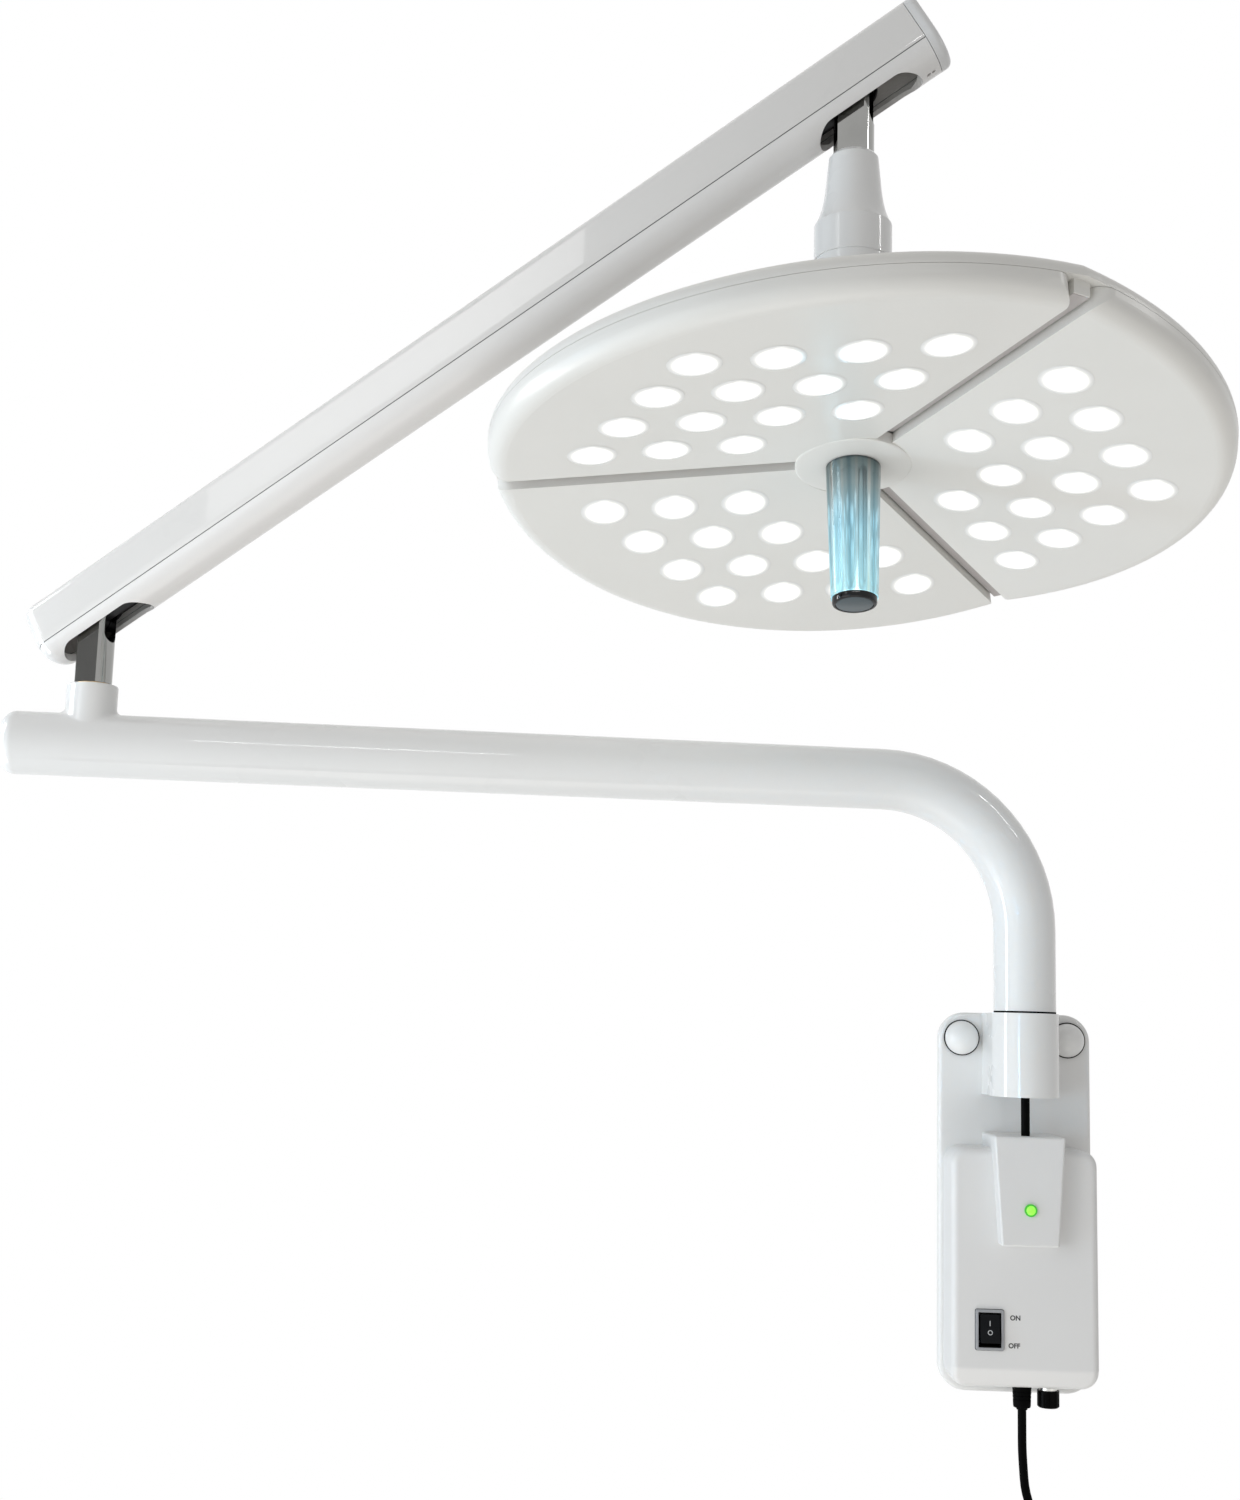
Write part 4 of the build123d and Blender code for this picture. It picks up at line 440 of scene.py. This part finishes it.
# Posts. Bright plated bar with two flats and a slot for the tie rod; each turns on its journal and
# carries the pins of the arm and of the tie rod.
chrome = finish_of(
    "bright_plate", (0.26, 0.26, 0.25), (0.34, 0.34, 0.33), 0.10, 0.05, 35.0, Metallic=1.0,
)
dress(chrome, "chrome_trim", "lower_post", "upper_post")
dress(ground, "bright_steel", "lower_link_pins", "upper_link_pins")
dress(sprung, "spring_steel", "lower_post_clip", "upper_post_clip")


# Spring arm. Two pressed shells under gloss enamel close round a folded steel beam. Their enamel carries
# painted light and shade: the lower shell a trace brighter, the upper one a trace duller, and a painted
# shade darkening the seam between them. The balance spring, wound from tempered wire, lies over the tie
# rod between its collar and the beam's seat.
def own_axes(tree, origin, turn):
    """The surface's place along the axes of a piece, as three values."""
    place = Wire.node(tree, "ShaderNodeTexCoord", {}, {}, "Object")
    axes = {"Vector": place, "Location": origin, "Rotation": turn}
    on_piece = Wire.node(tree, "ShaderNodeMapping", {"vector_type": "TEXTURE"}, axes)
    split = Wire.node(tree, "ShaderNodeSeparateXYZ", {}, {0: on_piece}).socket.node
    return [Wire(value) for value in split.outputs]


arm_rise = math.radians(30.0)
arm_azimuth = math.radians(-17.5)
lower_pivot_height = 0.440
lower_pivot = swing_frame @ Vector((swing_reach, 0, lower_pivot_height))
seam_drop, seam_reach = 0.014, 0.002
# Painted light and shade across the seam: the lower shell painted a trace brighter, the seam painted grey
# as its shade, the upper shell painted a trace duller.
seam_shade_grey = (0.40, 0.40, 0.40, 1)
seam_light_and_shade_stops = [
    (0.25, (1.03, 1.01, 1.0, 1)), (0.35, seam_shade_grey), (0.65, seam_shade_grey), (0.75, (0.95, 0.925, 0.905, 1)),
]
arm_enamel = enamel.copy()
arm_enamel.name = "arm_enamel"
arm_tree = arm_enamel.node_tree
arm_shader = arm_tree.nodes["Principled BSDF"]
sprayed = Wire(arm_shader.inputs["Base Color"].links[0].from_socket)
above_seam = own_axes(arm_tree, lower_pivot, (0, -arm_rise, arm_azimuth))[2] + seam_drop
over_seam = {0: above_seam * (1 / seam_reach) + 0.5}
shade = Wire.node(arm_tree, "ShaderNodeValToRGB", {"stops": seam_light_and_shade_stops}, over_seam)
mixed(arm_tree, 1.0, sprayed, shade, "MULTIPLY").into(arm_shader, "Base Color")
dress(arm_enamel, "cream_enamel", "arm_upper_shell", "arm_lower_shell")
dress(moulding, "white_housing", "arm_end_cap")
phosphated = finish_of(
    "phosphated", (0.012, 0.012, 0.013), (0.022, 0.022, 0.024), 0.45, 0.15, 110.0, Metallic=0.8,
)
dress(phosphated, "black_steel", "arm_beam", "spring_seat", "tie_rod")
dress(phosphated, "spring_steel", "arm_cap_screws")

arm_frame = Matrix.Translation(lower_pivot) @ Matrix.Rotation(arm_azimuth, 4, "Z")
arm_frame = arm_frame @ Matrix.Rotation(-arm_rise, 4, "Y")
spring_start, spring_end, spring_height = 0.1513, 0.4300, -0.01212
wire_radius, coil_middle, coil_count, coil_steps = 0.00135, 0.00820, 62, 14
coil_spring = bmesh.new()
wire = bmesh.ops.create_circle(coil_spring, segments=8, radius=wire_radius)["verts"]
wire_start = (spring_start + wire_radius, 0, spring_height)
wound_length = spring_end - spring_start - 2 * wire_radius
bmesh.ops.translate(coil_spring, verts=wire, vec=(0, coil_middle, 0))
upright = Matrix.Rotation(math.radians(90), 3, "X")
bmesh.ops.rotate(coil_spring, verts=wire, cent=(0, 0, 0), matrix=upright)
bmesh.ops.translate(coil_spring, verts=wire, vec=wire_start)
all_steps = coil_count * coil_steps
bmesh.ops.spin(
    coil_spring, geom=list({edge for vert in wire for edge in vert.link_edges}), cent=wire_start,
    axis=(1, 0, 0), dvec=(wound_length / all_steps, 0, 0), angle=2 * math.pi * coil_count,
    steps=all_steps, use_merge=False, use_duplicate=False,
)
wire_ends = [edge for edge in coil_spring.edges if edge.is_boundary]
bmesh.ops.holes_fill(coil_spring, edges=wire_ends, sides=8)
bmesh.ops.recalc_face_normals(coil_spring, faces=coil_spring.faces)
spring = piece(
    "coil_spring", coil_spring, arm_frame, sprung, "spring_steel", "tie_link", "balance_spring"
)
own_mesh(spring)

# The end cap's two black screws have bright recesses.
screw_middles, screws_along_arm = bmesh.new(), (0.7485, 0.7525)
middle_rings = [(-0.0262, 0.0009), (-0.0266, 0.0009), (-0.0268, 0.0006)]
for along in screws_along_arm:
    made = turned(screw_middles, middle_rings, 20)
    bmesh.ops.translate(screw_middles, verts=sum(made, []), vec=(along, 0, 0))
piece("cap_screw_middles", screw_middles, arm_frame, zinc, "zinc_steel", "spring_arm")


# Neck. A turned cover over the cast yoke, both enamelled; the yoke swivels on the upper post and
# holds the lamp head between its cheeks on a tilt pin with friction washers.
dress(enamel, "cream_enamel", "neck_cover", "neck_yoke")
dress(bronze, "bronze_bush", "neck_bush")
dress(ground, "bright_steel", "tilt_pin")
dress(black_trim, "black_plastic", "tilt_washers")


# Lamp head. A moulded dish of three flat lobes that lean in, fifteen lenses in each, bolted by a cast
# hub to the tilt pin's knuckle.
dish_white = finish_of(
    "dish_white", (0.79, 0.78, 0.745), (0.825, 0.815, 0.78), 0.32, 0.08, 14.0, bump=0.03,
    Specular_IOR_Level=0.3,
)
dress(dish_white, "white_housing", "dish_housing", "front_panels")
board = finish_of("circuit_board", (0.72, 0.73, 0.72), (0.82, 0.82, 0.81), 0.4, 0.1, 90.0)
dress(board, "circuit_board", "led_boards")
dress(cast_case, "grey_aluminium", "head_hub")

# Hub cover and channels. A turned disc covers the hub's bolts round the handle, and three thin grey
# strips, painted shade, lie on the floors of the channels between the lobes, which lean in towards it.
arm_length, tilt_pin_drop, face_drop = 0.703, 0.200, 0.088
head_tilt = math.radians(-10.0)
tilt_pin = arm_frame @ Vector((arm_length, 0, 0)) - Vector((0, 0, tilt_pin_drop))
head_frame = Matrix.Translation(tilt_pin) @ Matrix.Rotation(head_tilt, 4, "X")
head_frame = head_frame @ Matrix.Translation((0, 0, -face_drop))
channel_azimuth, lobe_lean, lobes = math.radians(176.0), math.radians(7.125), 3
lobe_turn = 2 * math.pi / lobes

hub = bmesh.new()
hub_rings = [
    (0.0040, 0.0084), (0.0040, 0.0397), (-0.0038, 0.0400), (-0.0045, 0.0398), (-0.0049, 0.0391),
    (-0.0050, 0.0380), (-0.0050, 0.0084),
]
turned(hub, hub_rings, 96, hollow=True)
piece("hub_cover", hub, head_frame, dish_white, "white_housing", "lamp_head", "hub_disc")

channel_floor, channel_width, hub_radius, dish_radius = 0.0070, 0.0113, 0.0405, 0.2440
channel_slope = math.atan(math.tan(lobe_lean) / 2)
strip_thickness = 0.0004
strip_size = (dish_radius - hub_radius, channel_width, strip_thickness)
strip_middle = ((dish_radius + hub_radius) / 2, 0, channel_floor - strip_thickness / 2)
channel_shade_strips = bmesh.new()
for lobe in range(lobes):
    strip = centred_box(channel_shade_strips, strip_size)
    run = Matrix.Rotation(channel_azimuth + lobe * lobe_turn, 4, "Z")
    run = run @ Matrix.Rotation(channel_slope, 4, "Y") @ Matrix.Translation(strip_middle)
    bmesh.ops.transform(channel_shade_strips, matrix=run, verts=strip)
# The strips' grey is painted shade on the channel floors.
channel_shade_grey = finish_of("channel_shade_grey", (0.50, 0.47, 0.465), (0.56, 0.53, 0.52), 0.5, 0.1, 60.0)
piece("channel_shade_strips", channel_shade_strips, head_frame, channel_shade_grey, "mid_grey_plastic", "lamp_head")

# Lenses. Pressed discs of clear plastic, each over one LED: a bright core that fades to a soft ring,
# with a small flare towards the front. All of them lie just under the panels' face.
lit_lens, lens_tree, lens_shader = bare_finish("lit_lens")
glow = Wire.node(lens_tree, "ShaderNodeAttribute", {"attribute_name": "glow"}, {}, "Fac")
place = Wire.node(lens_tree, "ShaderNodeTexCoord", {}, {}, "Object")
drift = Wire.node(lens_tree, "ShaderNodeTexNoise", {}, {"Vector": place, "Scale": 220.0})
unlit, lit = (0.82, 0.817, 0.80, 1), (0.15, 0.15, 0.14, 1)
mixed(lens_tree, glow, (0, 0, 0, 1), (1.0, 1.0, 0.975, 1)).into(lens_shader, "Emission Color")
mixed(lens_tree, glow * (0.9 + drift * 0.1), unlit, lit).into(lens_shader, "Base Color")
(0.16 + drift * 0.06).into(lens_shader, "Roughness")
lens_shader.inputs["Emission Strength"].default_value = 1.0

lens_pitch, flare_edge, flare_gain = 0.0502, 0.96, 0.9
lens_rings = (  # height, radius and share of the glow
    (0.0100, 0.0100, 0.0), (0.0020, 0.0145, 0.0), (-0.0001, 0.0145, 0.0), (-0.0001, 0.0170, 0.0),
    (-0.0002, 0.0166, 0.02), (-0.0003, 0.0158, 0.10), (-0.0004, 0.0150, 0.22), (-0.0005, 0.0141, 0.45),
    (-0.0006, 0.0128, 1.0), (-0.0008, 0.0080, 1.0),
)
lens_discs = bmesh.new()
glow_layer = lens_discs.verts.layers.float.new("glow")
towards_front = Vector((0, -1, 0))
for lobe in range(lobes):
    lobe_frame = Matrix.Rotation(channel_azimuth + (lobe - 0.5) * lobe_turn, 4, "Z")
    lobe_frame = lobe_frame @ Matrix.Rotation(lobe_lean, 4, "Y")
    front_here = lobe_frame.inverted().to_3x3() @ towards_front
    # A rhombus of four rows by four, without the lens next to the hub.
    for i in range(1, 5):
        for j in range(1, 5):
            if i == j == 1:
                continue
            along = (i + j) * lens_pitch * 0.5
            across = (i - j) * lens_pitch * math.sin(math.pi / 3)
            seat = lobe_frame @ Matrix.Translation((along, across, 0))
            rings = turned(lens_discs, [ring[:2] for ring in lens_rings], 40)
            for (_, _, share), ring_verts in zip(lens_rings, rings):
                for vert in ring_verts:
                    facing = vert.co.normalized().dot(front_here)
                    flare = max(0.0, (facing - flare_edge) / (1 - flare_edge))
                    vert[glow_layer] = min(1.0, share + share**0.5 * flare * flare_gain)
                bmesh.ops.transform(lens_discs, matrix=seat, verts=ring_verts)
piece("lens_discs", lens_discs, head_frame, lit_lens, "led_lens", "lamp_head", "lenses")


# Handle. A fluted sleeve plated in a blue tint over a steel stem, closed by a dark moulded end; the
# user steers the head by it. Its colour also carries painted reflections: it darkens towards the dish
# as a painted reflection of the dish, and painted highlights and dark lines streak along the flutes.
dress(ground, "bright_steel", "handle_stem")
grip_top, grip_end, grip_start, grip_length = 0.0188, 0.0160, -0.0051, 0.0980
flutes, flute_depth = 12, 0.0007
grip_rings = (  # drop, inset and share of the flutes' depth
    (0.0, -0.0006, 0.0), (0.0005, 0.0, 0.0), (0.005, 0.0, 0.3), (0.011, 0.0, 1.0), (0.040, 0.0, 1.0),
    (0.070, 0.0, 1.0), (0.089, 0.0, 1.0), (0.094, 0.0, 0.3), (0.0975, 0.0, 0.0), (0.098, -0.0006, 0.0),
)
grip = bmesh.new()
taper = (grip_end - grip_top) / grip_length
sleeve_rings = [(grip_start - drop, grip_top + taper * drop + inset) for drop, inset, _ in grip_rings]
for (_, _, share), ring_verts in zip(grip_rings, turned(grip, sleeve_rings, 144)):
    for vert in ring_verts:
        turn = math.atan2(vert.co.y, vert.co.x) * flutes
        radius = math.hypot(vert.co.x, vert.co.y)
        left = 1 - share * flute_depth / radius * (0.5 - 0.5 * math.cos(turn)) ** 1.5
        vert.co.x *= left
        vert.co.y *= left

blue_plate, blue_tree, blue_shader = bare_finish("blue_plate")
x, y, z = own_axes(blue_tree, head_frame.translation, (head_tilt, 0, 0))
turn = y.math("ARCTAN2", y, x)
stripes = (turn * flutes).math("COSINE", turn * flutes) * 0.5 + 0.5
beat = (turn * 5.0 + 1.3).math("SINE", turn * 5.0 + 1.3) * 0.5 + 0.5
down = z * -10.2 - 0.05
# The tint's ramp runs from dark at the dish, a painted reflection of it, to the bright blue of the
# plating at the end.
tint_and_reflection_stops = [
    (0.0, (0.03, 0.04, 0.045, 1)), (0.022, (0.16, 0.205, 0.21, 1)), (0.20, (0.34, 0.44, 0.47, 1)),
    (0.50, (0.40, 0.70, 0.84, 1)), (1.0, (0.50, 0.88, 1.0, 1)),
]
# Painted highlights and dark lines along the flutes, as painted reflections.
painted_streak_stops = [
    (0.0, (0.66, 0.74, 0.78, 1)), (0.35, (1, 1, 1, 1)), (0.72, (1, 1, 1, 1)), (1.0, (1.5, 1.2, 1.1, 1)),
]
across = stripes * 0.75 + beat * 0.25
tint_and_reflection = Wire.node(blue_tree, "ShaderNodeValToRGB", {"stops": tint_and_reflection_stops}, {0: down})
painted_streak = Wire.node(blue_tree, "ShaderNodeValToRGB", {"stops": painted_streak_stops}, {0: across})
mixed(blue_tree, 1.0, tint_and_reflection, painted_streak, "MULTIPLY").into(blue_shader, "Base Color")
(0.13 + beat * 0.05).into(blue_shader, "Roughness")
blue_shader.inputs["Metallic"].default_value = 1.0
piece("steering_grip", grip, head_frame, blue_plate, "blue_chrome", "lamp_head", "handle_grip")

end_start = grip_start - grip_length
end_cap = bmesh.new()
end_rings = [
    (0.0, 0.0151), (-0.0030, 0.0151), (-0.0038, 0.0147), (-0.0042, 0.0140), (-0.0042, 0.0130),
    (-0.0036, 0.0128),
]
turned(end_cap, [(end_start + drop, radius) for drop, radius in end_rings], 72)
end_black = finish_of(
    "end_black", (0.002, 0.0025, 0.003), (0.005, 0.006, 0.007), 0.10, 0.04, 90.0,
    Specular_IOR_Level=0.25,
)
on_handle = ("dark_grey_plastic", "lamp_head", "handle_end_cap")
piece("grip_end", end_cap, head_frame, end_black, *on_handle)
end_face = bmesh.new()
face_rings = [(-0.0034, 0.0124), (-0.0040, 0.0124), (-0.0042, 0.0118)]
turned(end_face, [(end_start + drop, radius) for drop, radius in face_rings], 72)
end_grey = finish_of(
    "end_grey", (0.065, 0.085, 0.095), (0.085, 0.11, 0.12), 0.25, 0.08, 90.0, Specular_IOR_Level=0.2,
)
piece("grip_end_face", end_face, head_frame, end_grey, *on_handle)


# Mains cord. Black rubber flex of 7 mm that leaves the gland and hangs; its spare length is put away
# below as a tied coil of seven turns in four layers, with its plug in front.
cord_radius = 0.0035
coil_x, coil_z, coil_outer, coil_pitch = -0.020, -0.318, 0.0443, 0.0079
coil_layers, leg, climb, plug_step = 4, 1.75, 0.25, 0.0119


def eased(left):
    """Rounds a reversal off where less than a climb is left, so that the flex doesn't kink."""
    return left**2 / (2 * climb) + climb / 2


def coil_point(turns):
    """Spirals in and out, a layer further from the wall at each reversal."""
    index, left = divmod(turns, leg)
    inward = left if index % 2 == 0 else leg - left
    if index >= coil_layers:
        inward = 0.0
    if leg - inward < climb and turns > 0:
        inward = leg - eased(leg - inward)
    if inward < climb < turns < coil_layers * leg - climb:
        inward = eased(inward)
    radius = coil_outer - coil_pitch * inward
    depth = cord_from_wall
    for layer in range(1, coil_layers + 1):
        early = 2 * climb if layer == coil_layers else climb
        share = min(1.0, max(0.0, (turns - layer * leg + early) / (2 * climb)))
        depth += (plug_step if layer == coil_layers else coil_pitch) * share * share * (3 - 2 * share)
    angle = 2 * math.pi * turns
    return (coil_x + radius * math.cos(angle), -depth, coil_z - radius * math.sin(angle))


hanging = [(0, gland_end), (0, gland_end - 0.010), (0, gland_end - 0.020), (0, gland_end - 0.030)]
hanging += [(0.0007, -0.221), (0.0020, -0.240), (0.0075, -0.256), (0.0165, -0.272), (0.0232, -0.288)]
hanging += [(0.0243, -0.302), (0.0243, -0.311)]
route = [(aside, -cord_from_wall, height) for aside, height in hanging]
points_per_turn = 26
total_points = round(coil_layers * leg * points_per_turn)
route += [coil_point(coil_layers * leg * step / total_points) for step in range(total_points + 1)]
plug_top = (route[-1][0], route[-1][1], route[-1][2] - 2 * cord_radius)
route.append(plug_top)

flex_curve = bpy.data.curves.new("mains_flex", "CURVE")
flex_curve.dimensions = "3D"
spline = flex_curve.splines.new("NURBS")
spline.points.add(len(route) - 1)
for point, place in zip(spline.points, route):
    point.co = (*place, 1.0)
spline.order_u = 3
spline.use_endpoint_u = True
spline.resolution_u = 3
flex_curve.bevel_depth = cord_radius
flex_curve.bevel_resolution = 4
flex_curve.use_fill_caps = True
flex_curve.materials.append(jacket)
flex = placed("mains_flex", flex_curve)
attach(flex, "wall_unit")
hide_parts("mains_cord", "cord_coil")
dress(black_trim, "black_plastic", "cord_tie")

# Plug. Moulded in one with the cord's end: a rounded body with finger ridges, a short sleeve and two
# round pins that are sleeved for their first half.
plug_body, pin_radius, pin_length, pin_spacing = (0.026, 0.016, 0.040), 0.0024, 0.019, 0.019
plug = bmesh.new()
trunk = centred_box(plug, plug_body, (0, 0, -plug_body[2] / 2))
bmesh.ops.subdivide_edges(plug, edges=edges_along(trunk, 2), cuts=6, use_grid_fill=True)
for vert in plug.verts:
    level = -vert.co.z / plug_body[2]
    waist = 1 - 0.16 * math.sin(math.pi * min(1.0, level * 1.35)) if 0.0 < level < 0.75 else 1.0
    waist *= 0.72 if level < 0.01 else 1.0
    vert.co.x *= waist
    vert.co.y *= waist
lengthwise = [e for e in plug.edges if abs((e.verts[1].co - e.verts[0].co).normalized().z) > 0.5]
corners = [
    edge for edge in lengthwise
    if all(abs(vert.co.x) > 0.004 and abs(vert.co.y) > 0.004 for vert in edge.verts)
]
soften(plug, corners, 0.0035, 4)
bmesh.ops.recalc_face_normals(plug, faces=plug.faces)
bmesh.ops.create_cone(
    plug, cap_ends=True, segments=24, radius1=0.0068, radius2=0.0046, depth=0.007,
    matrix=Matrix.Translation((0, 0, 0.0025)),
)
plug_place = Matrix.Translation(plug_top)
plug_object = piece(
    "plug_body", plug, plug_place, dark_moulding, "black_plastic", "wall_unit", "mains_plug"
)
pins = bmesh.new()
for side in (-1, 1):
    bmesh.ops.create_cone(
        pins, cap_ends=True, segments=24, radius1=pin_radius, radius2=pin_radius, depth=pin_length,
        matrix=Matrix.Translation((side * pin_spacing / 2, 0, -plug_body[2] - pin_length / 2)),
    )
tip_level = -plug_body[2] - pin_length + 1e-5
tips = [edge for edge in pins.edges if all(vert.co.z < tip_level for vert in edge.verts)]
soften(pins, tips, 0.0012, 3)
pins_object = piece("plug_pins", pins, plug_place, zinc, "zinc_steel", "wall_unit", "mains_plug")


# Room. A pale floor under a white surround, both seen as white by the camera and in reflections. On
# the light itself the surround casts only a soft, low fill.
floor_radius, floor_middle, floor_white, fill_strength = 2.6, (-0.3, -0.6, -1.2), 0.8, 0.43


def surround(tree, surface):
    """White to the camera, to reflections and through glass."""
    path = tree.nodes.new("ShaderNodeLightPath")
    seen = Wire(path.outputs["Is Camera Ray"]) + Wire(path.outputs["Is Glossy Ray"])
    white = Wire.node(tree, surface, {}, {"Color": (1, 1, 1, 1), "Strength": 1.0})
    return seen + Wire(path.outputs["Is Transmission Ray"]), white


world = bpy.data.worlds.new("studio")
bpy.context.scene.world = world
world.use_nodes = True
studio = world.node_tree
share, white = surround(studio, "ShaderNodeBackground")
fill = {"Color": (1, 1, 1, 1), "Strength": fill_strength}
soft = Wire.node(studio, "ShaderNodeBackground", {}, fill)
both = Wire.node(studio, "ShaderNodeMixShader", {}, {0: share, 1: soft, 2: white})
both.into(studio.nodes["World Output"], "Surface")

floor_paint, floor_tree, _ = bare_finish("pale_floor")
share, white = surround(floor_tree, "ShaderNodeEmission")
matt = Wire.node(floor_tree, "ShaderNodeBsdfDiffuse", {}, {"Color": (0.85, 0.85, 0.85, 1)})
both = Wire.node(floor_tree, "ShaderNodeMixShader", {}, {0: share * floor_white, 1: matt, 2: white})
both.into(floor_tree.nodes["Material Output"], "Surface")
floor_mesh = bmesh.new()
bmesh.ops.create_circle(floor_mesh, cap_ends=True, segments=64, radius=floor_radius)
bmesh.ops.translate(floor_mesh, verts=floor_mesh.verts, vec=floor_middle)
floor = object_of("floor", floor_mesh, floor_paint)

# Card. A dark grey card at the left, seen only in reflections: the left flats of the plated posts
# mirror it, which draws their edges.
card_size, card_place, card_turn = (0.30, 0.55), (-1.535, -0.744, 0.62), math.radians(-53.3)
card_black, _, card_shader = bare_finish("card_black")
card_shader.inputs["Base Color"].default_value = (0.0, 0.0, 0.0, 1)
card_shader.inputs["Emission Color"].default_value = (1, 1, 1, 1)
card_shader.inputs["Emission Strength"].default_value = 0.24
card_mesh = bmesh.new()
bmesh.ops.create_grid(card_mesh, x_segments=1, y_segments=1, size=0.5)
bmesh.ops.scale(card_mesh, verts=card_mesh.verts, vec=(*card_size, 1))
card = object_of("dark_card", card_mesh, card_black)
card.matrix_world = Matrix.Translation(card_place) @ Matrix.Rotation(card_turn, 4, "Z") @ to_wall
card.visible_camera = False
card.visible_diffuse = False
card.visible_shadow = False


# Lamps. Two broad soft boxes low at the left carry the light; a bluish one reaches the wall unit from
# the left, and weaker warm ones fill in from below, the right and overhead. Two narrow beams lift the
# arm's low end and the tube's upright run, and three strips draw only the fine highlights.
def soft_box(name, place, target, size, power, colour=(1, 1, 1), sheen_only=False, spread=180.0):
    """A lamp of this size in metres, pointed at a target."""
    lamp = bpy.data.lights.new(name, "AREA")
    lamp.shape = "RECTANGLE"
    lamp.size, lamp.size_y = size
    lamp.energy = power
    lamp.spread = math.radians(spread)
    lamp.color = colour
    carrier = placed(name, lamp)
    aim = (Vector(target) - Vector(place)).to_track_quat("-Z", "Y").to_matrix().to_4x4()
    carrier.matrix_world = Matrix.Translation(place) @ aim
    carrier.visible_diffuse = not sheen_only


middle = (-0.3, -0.25, 0.35)
cool, cool_blue, warm = (0.96, 0.985, 1.0), (0.55, 0.79, 1.0), (1.0, 0.94, 0.86)
upright_run, wall_unit_middle = (0, -0.05, 0.24), (0, -0.03, 0.1)
soft_box("key_box", (-1.65, -1.45, -0.05), middle, (1.2, 1.2), 7.8, (0.93, 0.97, 1.0))
soft_box("left_box", (-2.00, -0.50, -0.95), (-0.3, -0.3, 0.5), (1.3, 1.3), 11.5, cool)
soft_box("high_box", (-1.60, -1.20, 1.00), (-0.65, -0.15, 0.38), (0.8, 0.8), 0.42, spread=36.0)
soft_box("wall_box", (-2.42, -0.58, -0.01), wall_unit_middle, (0.22, 1.3), 9.7, cool_blue)
soft_box(
    "tube_box", (-1.50, -2.55, 0.06), upright_run, (0.2, 0.2), 0.03, (0.30, 0.66, 1.0), spread=12.0
)
soft_box("under_box", (-0.25, -0.55, -1.1), (-0.2, -0.45, 0.5), (1.2, 0.8), 5.2, warm)
soft_box("right_box", (1.2, -1.6, -0.8), (-0.1, -0.3, 0.4), (1.2, 1.0), 2.2, warm)
soft_box("top_box", (-0.6, -0.3, 2.4), middle, (2.0, 1.2), 3.5, (1.0, 0.95, 0.89))
soft_box("left_strip", (-1.08, -0.235, 0.2), (0, -0.05, 0.2), (0.10, 0.8), 6.0, sheen_only=True)
soft_box(
    "right_strip", (1.31, -0.586, 1.25), (-0.173, -0.338, 0.62), (0.07, 0.5), 3.5, sheen_only=True
)
soft_box("front_strip", (-0.1, -2.1, 1.25), (-0.2, -0.1, 0.45), (1.2, 0.06), 6.0, sheen_only=True)


# Camera. Where the photo was taken from, in front of the wall and looking a little up.
camera_place, film_height, focal_length = (-0.29084, -1.55225, 0.11778), 36.0, 43.294
pan, lift, roll = math.radians(1.748), math.radians(8.651), math.radians(-1.617)
camera_data = bpy.data.cameras.new("camera")
camera_data.sensor_fit = "VERTICAL"
camera_data.sensor_height = film_height
camera_data.lens = focal_length
camera_data.clip_end = 50.0
camera = placed("camera", camera_data)
aim = Matrix.Rotation(pan, 4, "Z") @ Matrix.Rotation(lift, 4, "X") @ Matrix.Rotation(roll, 4, "Y")
camera.matrix_world = Matrix.Translation(camera_place) @ aim @ to_wall
bpy.context.scene.camera = camera
bpy.context.scene.view_settings.view_transform = "Standard"
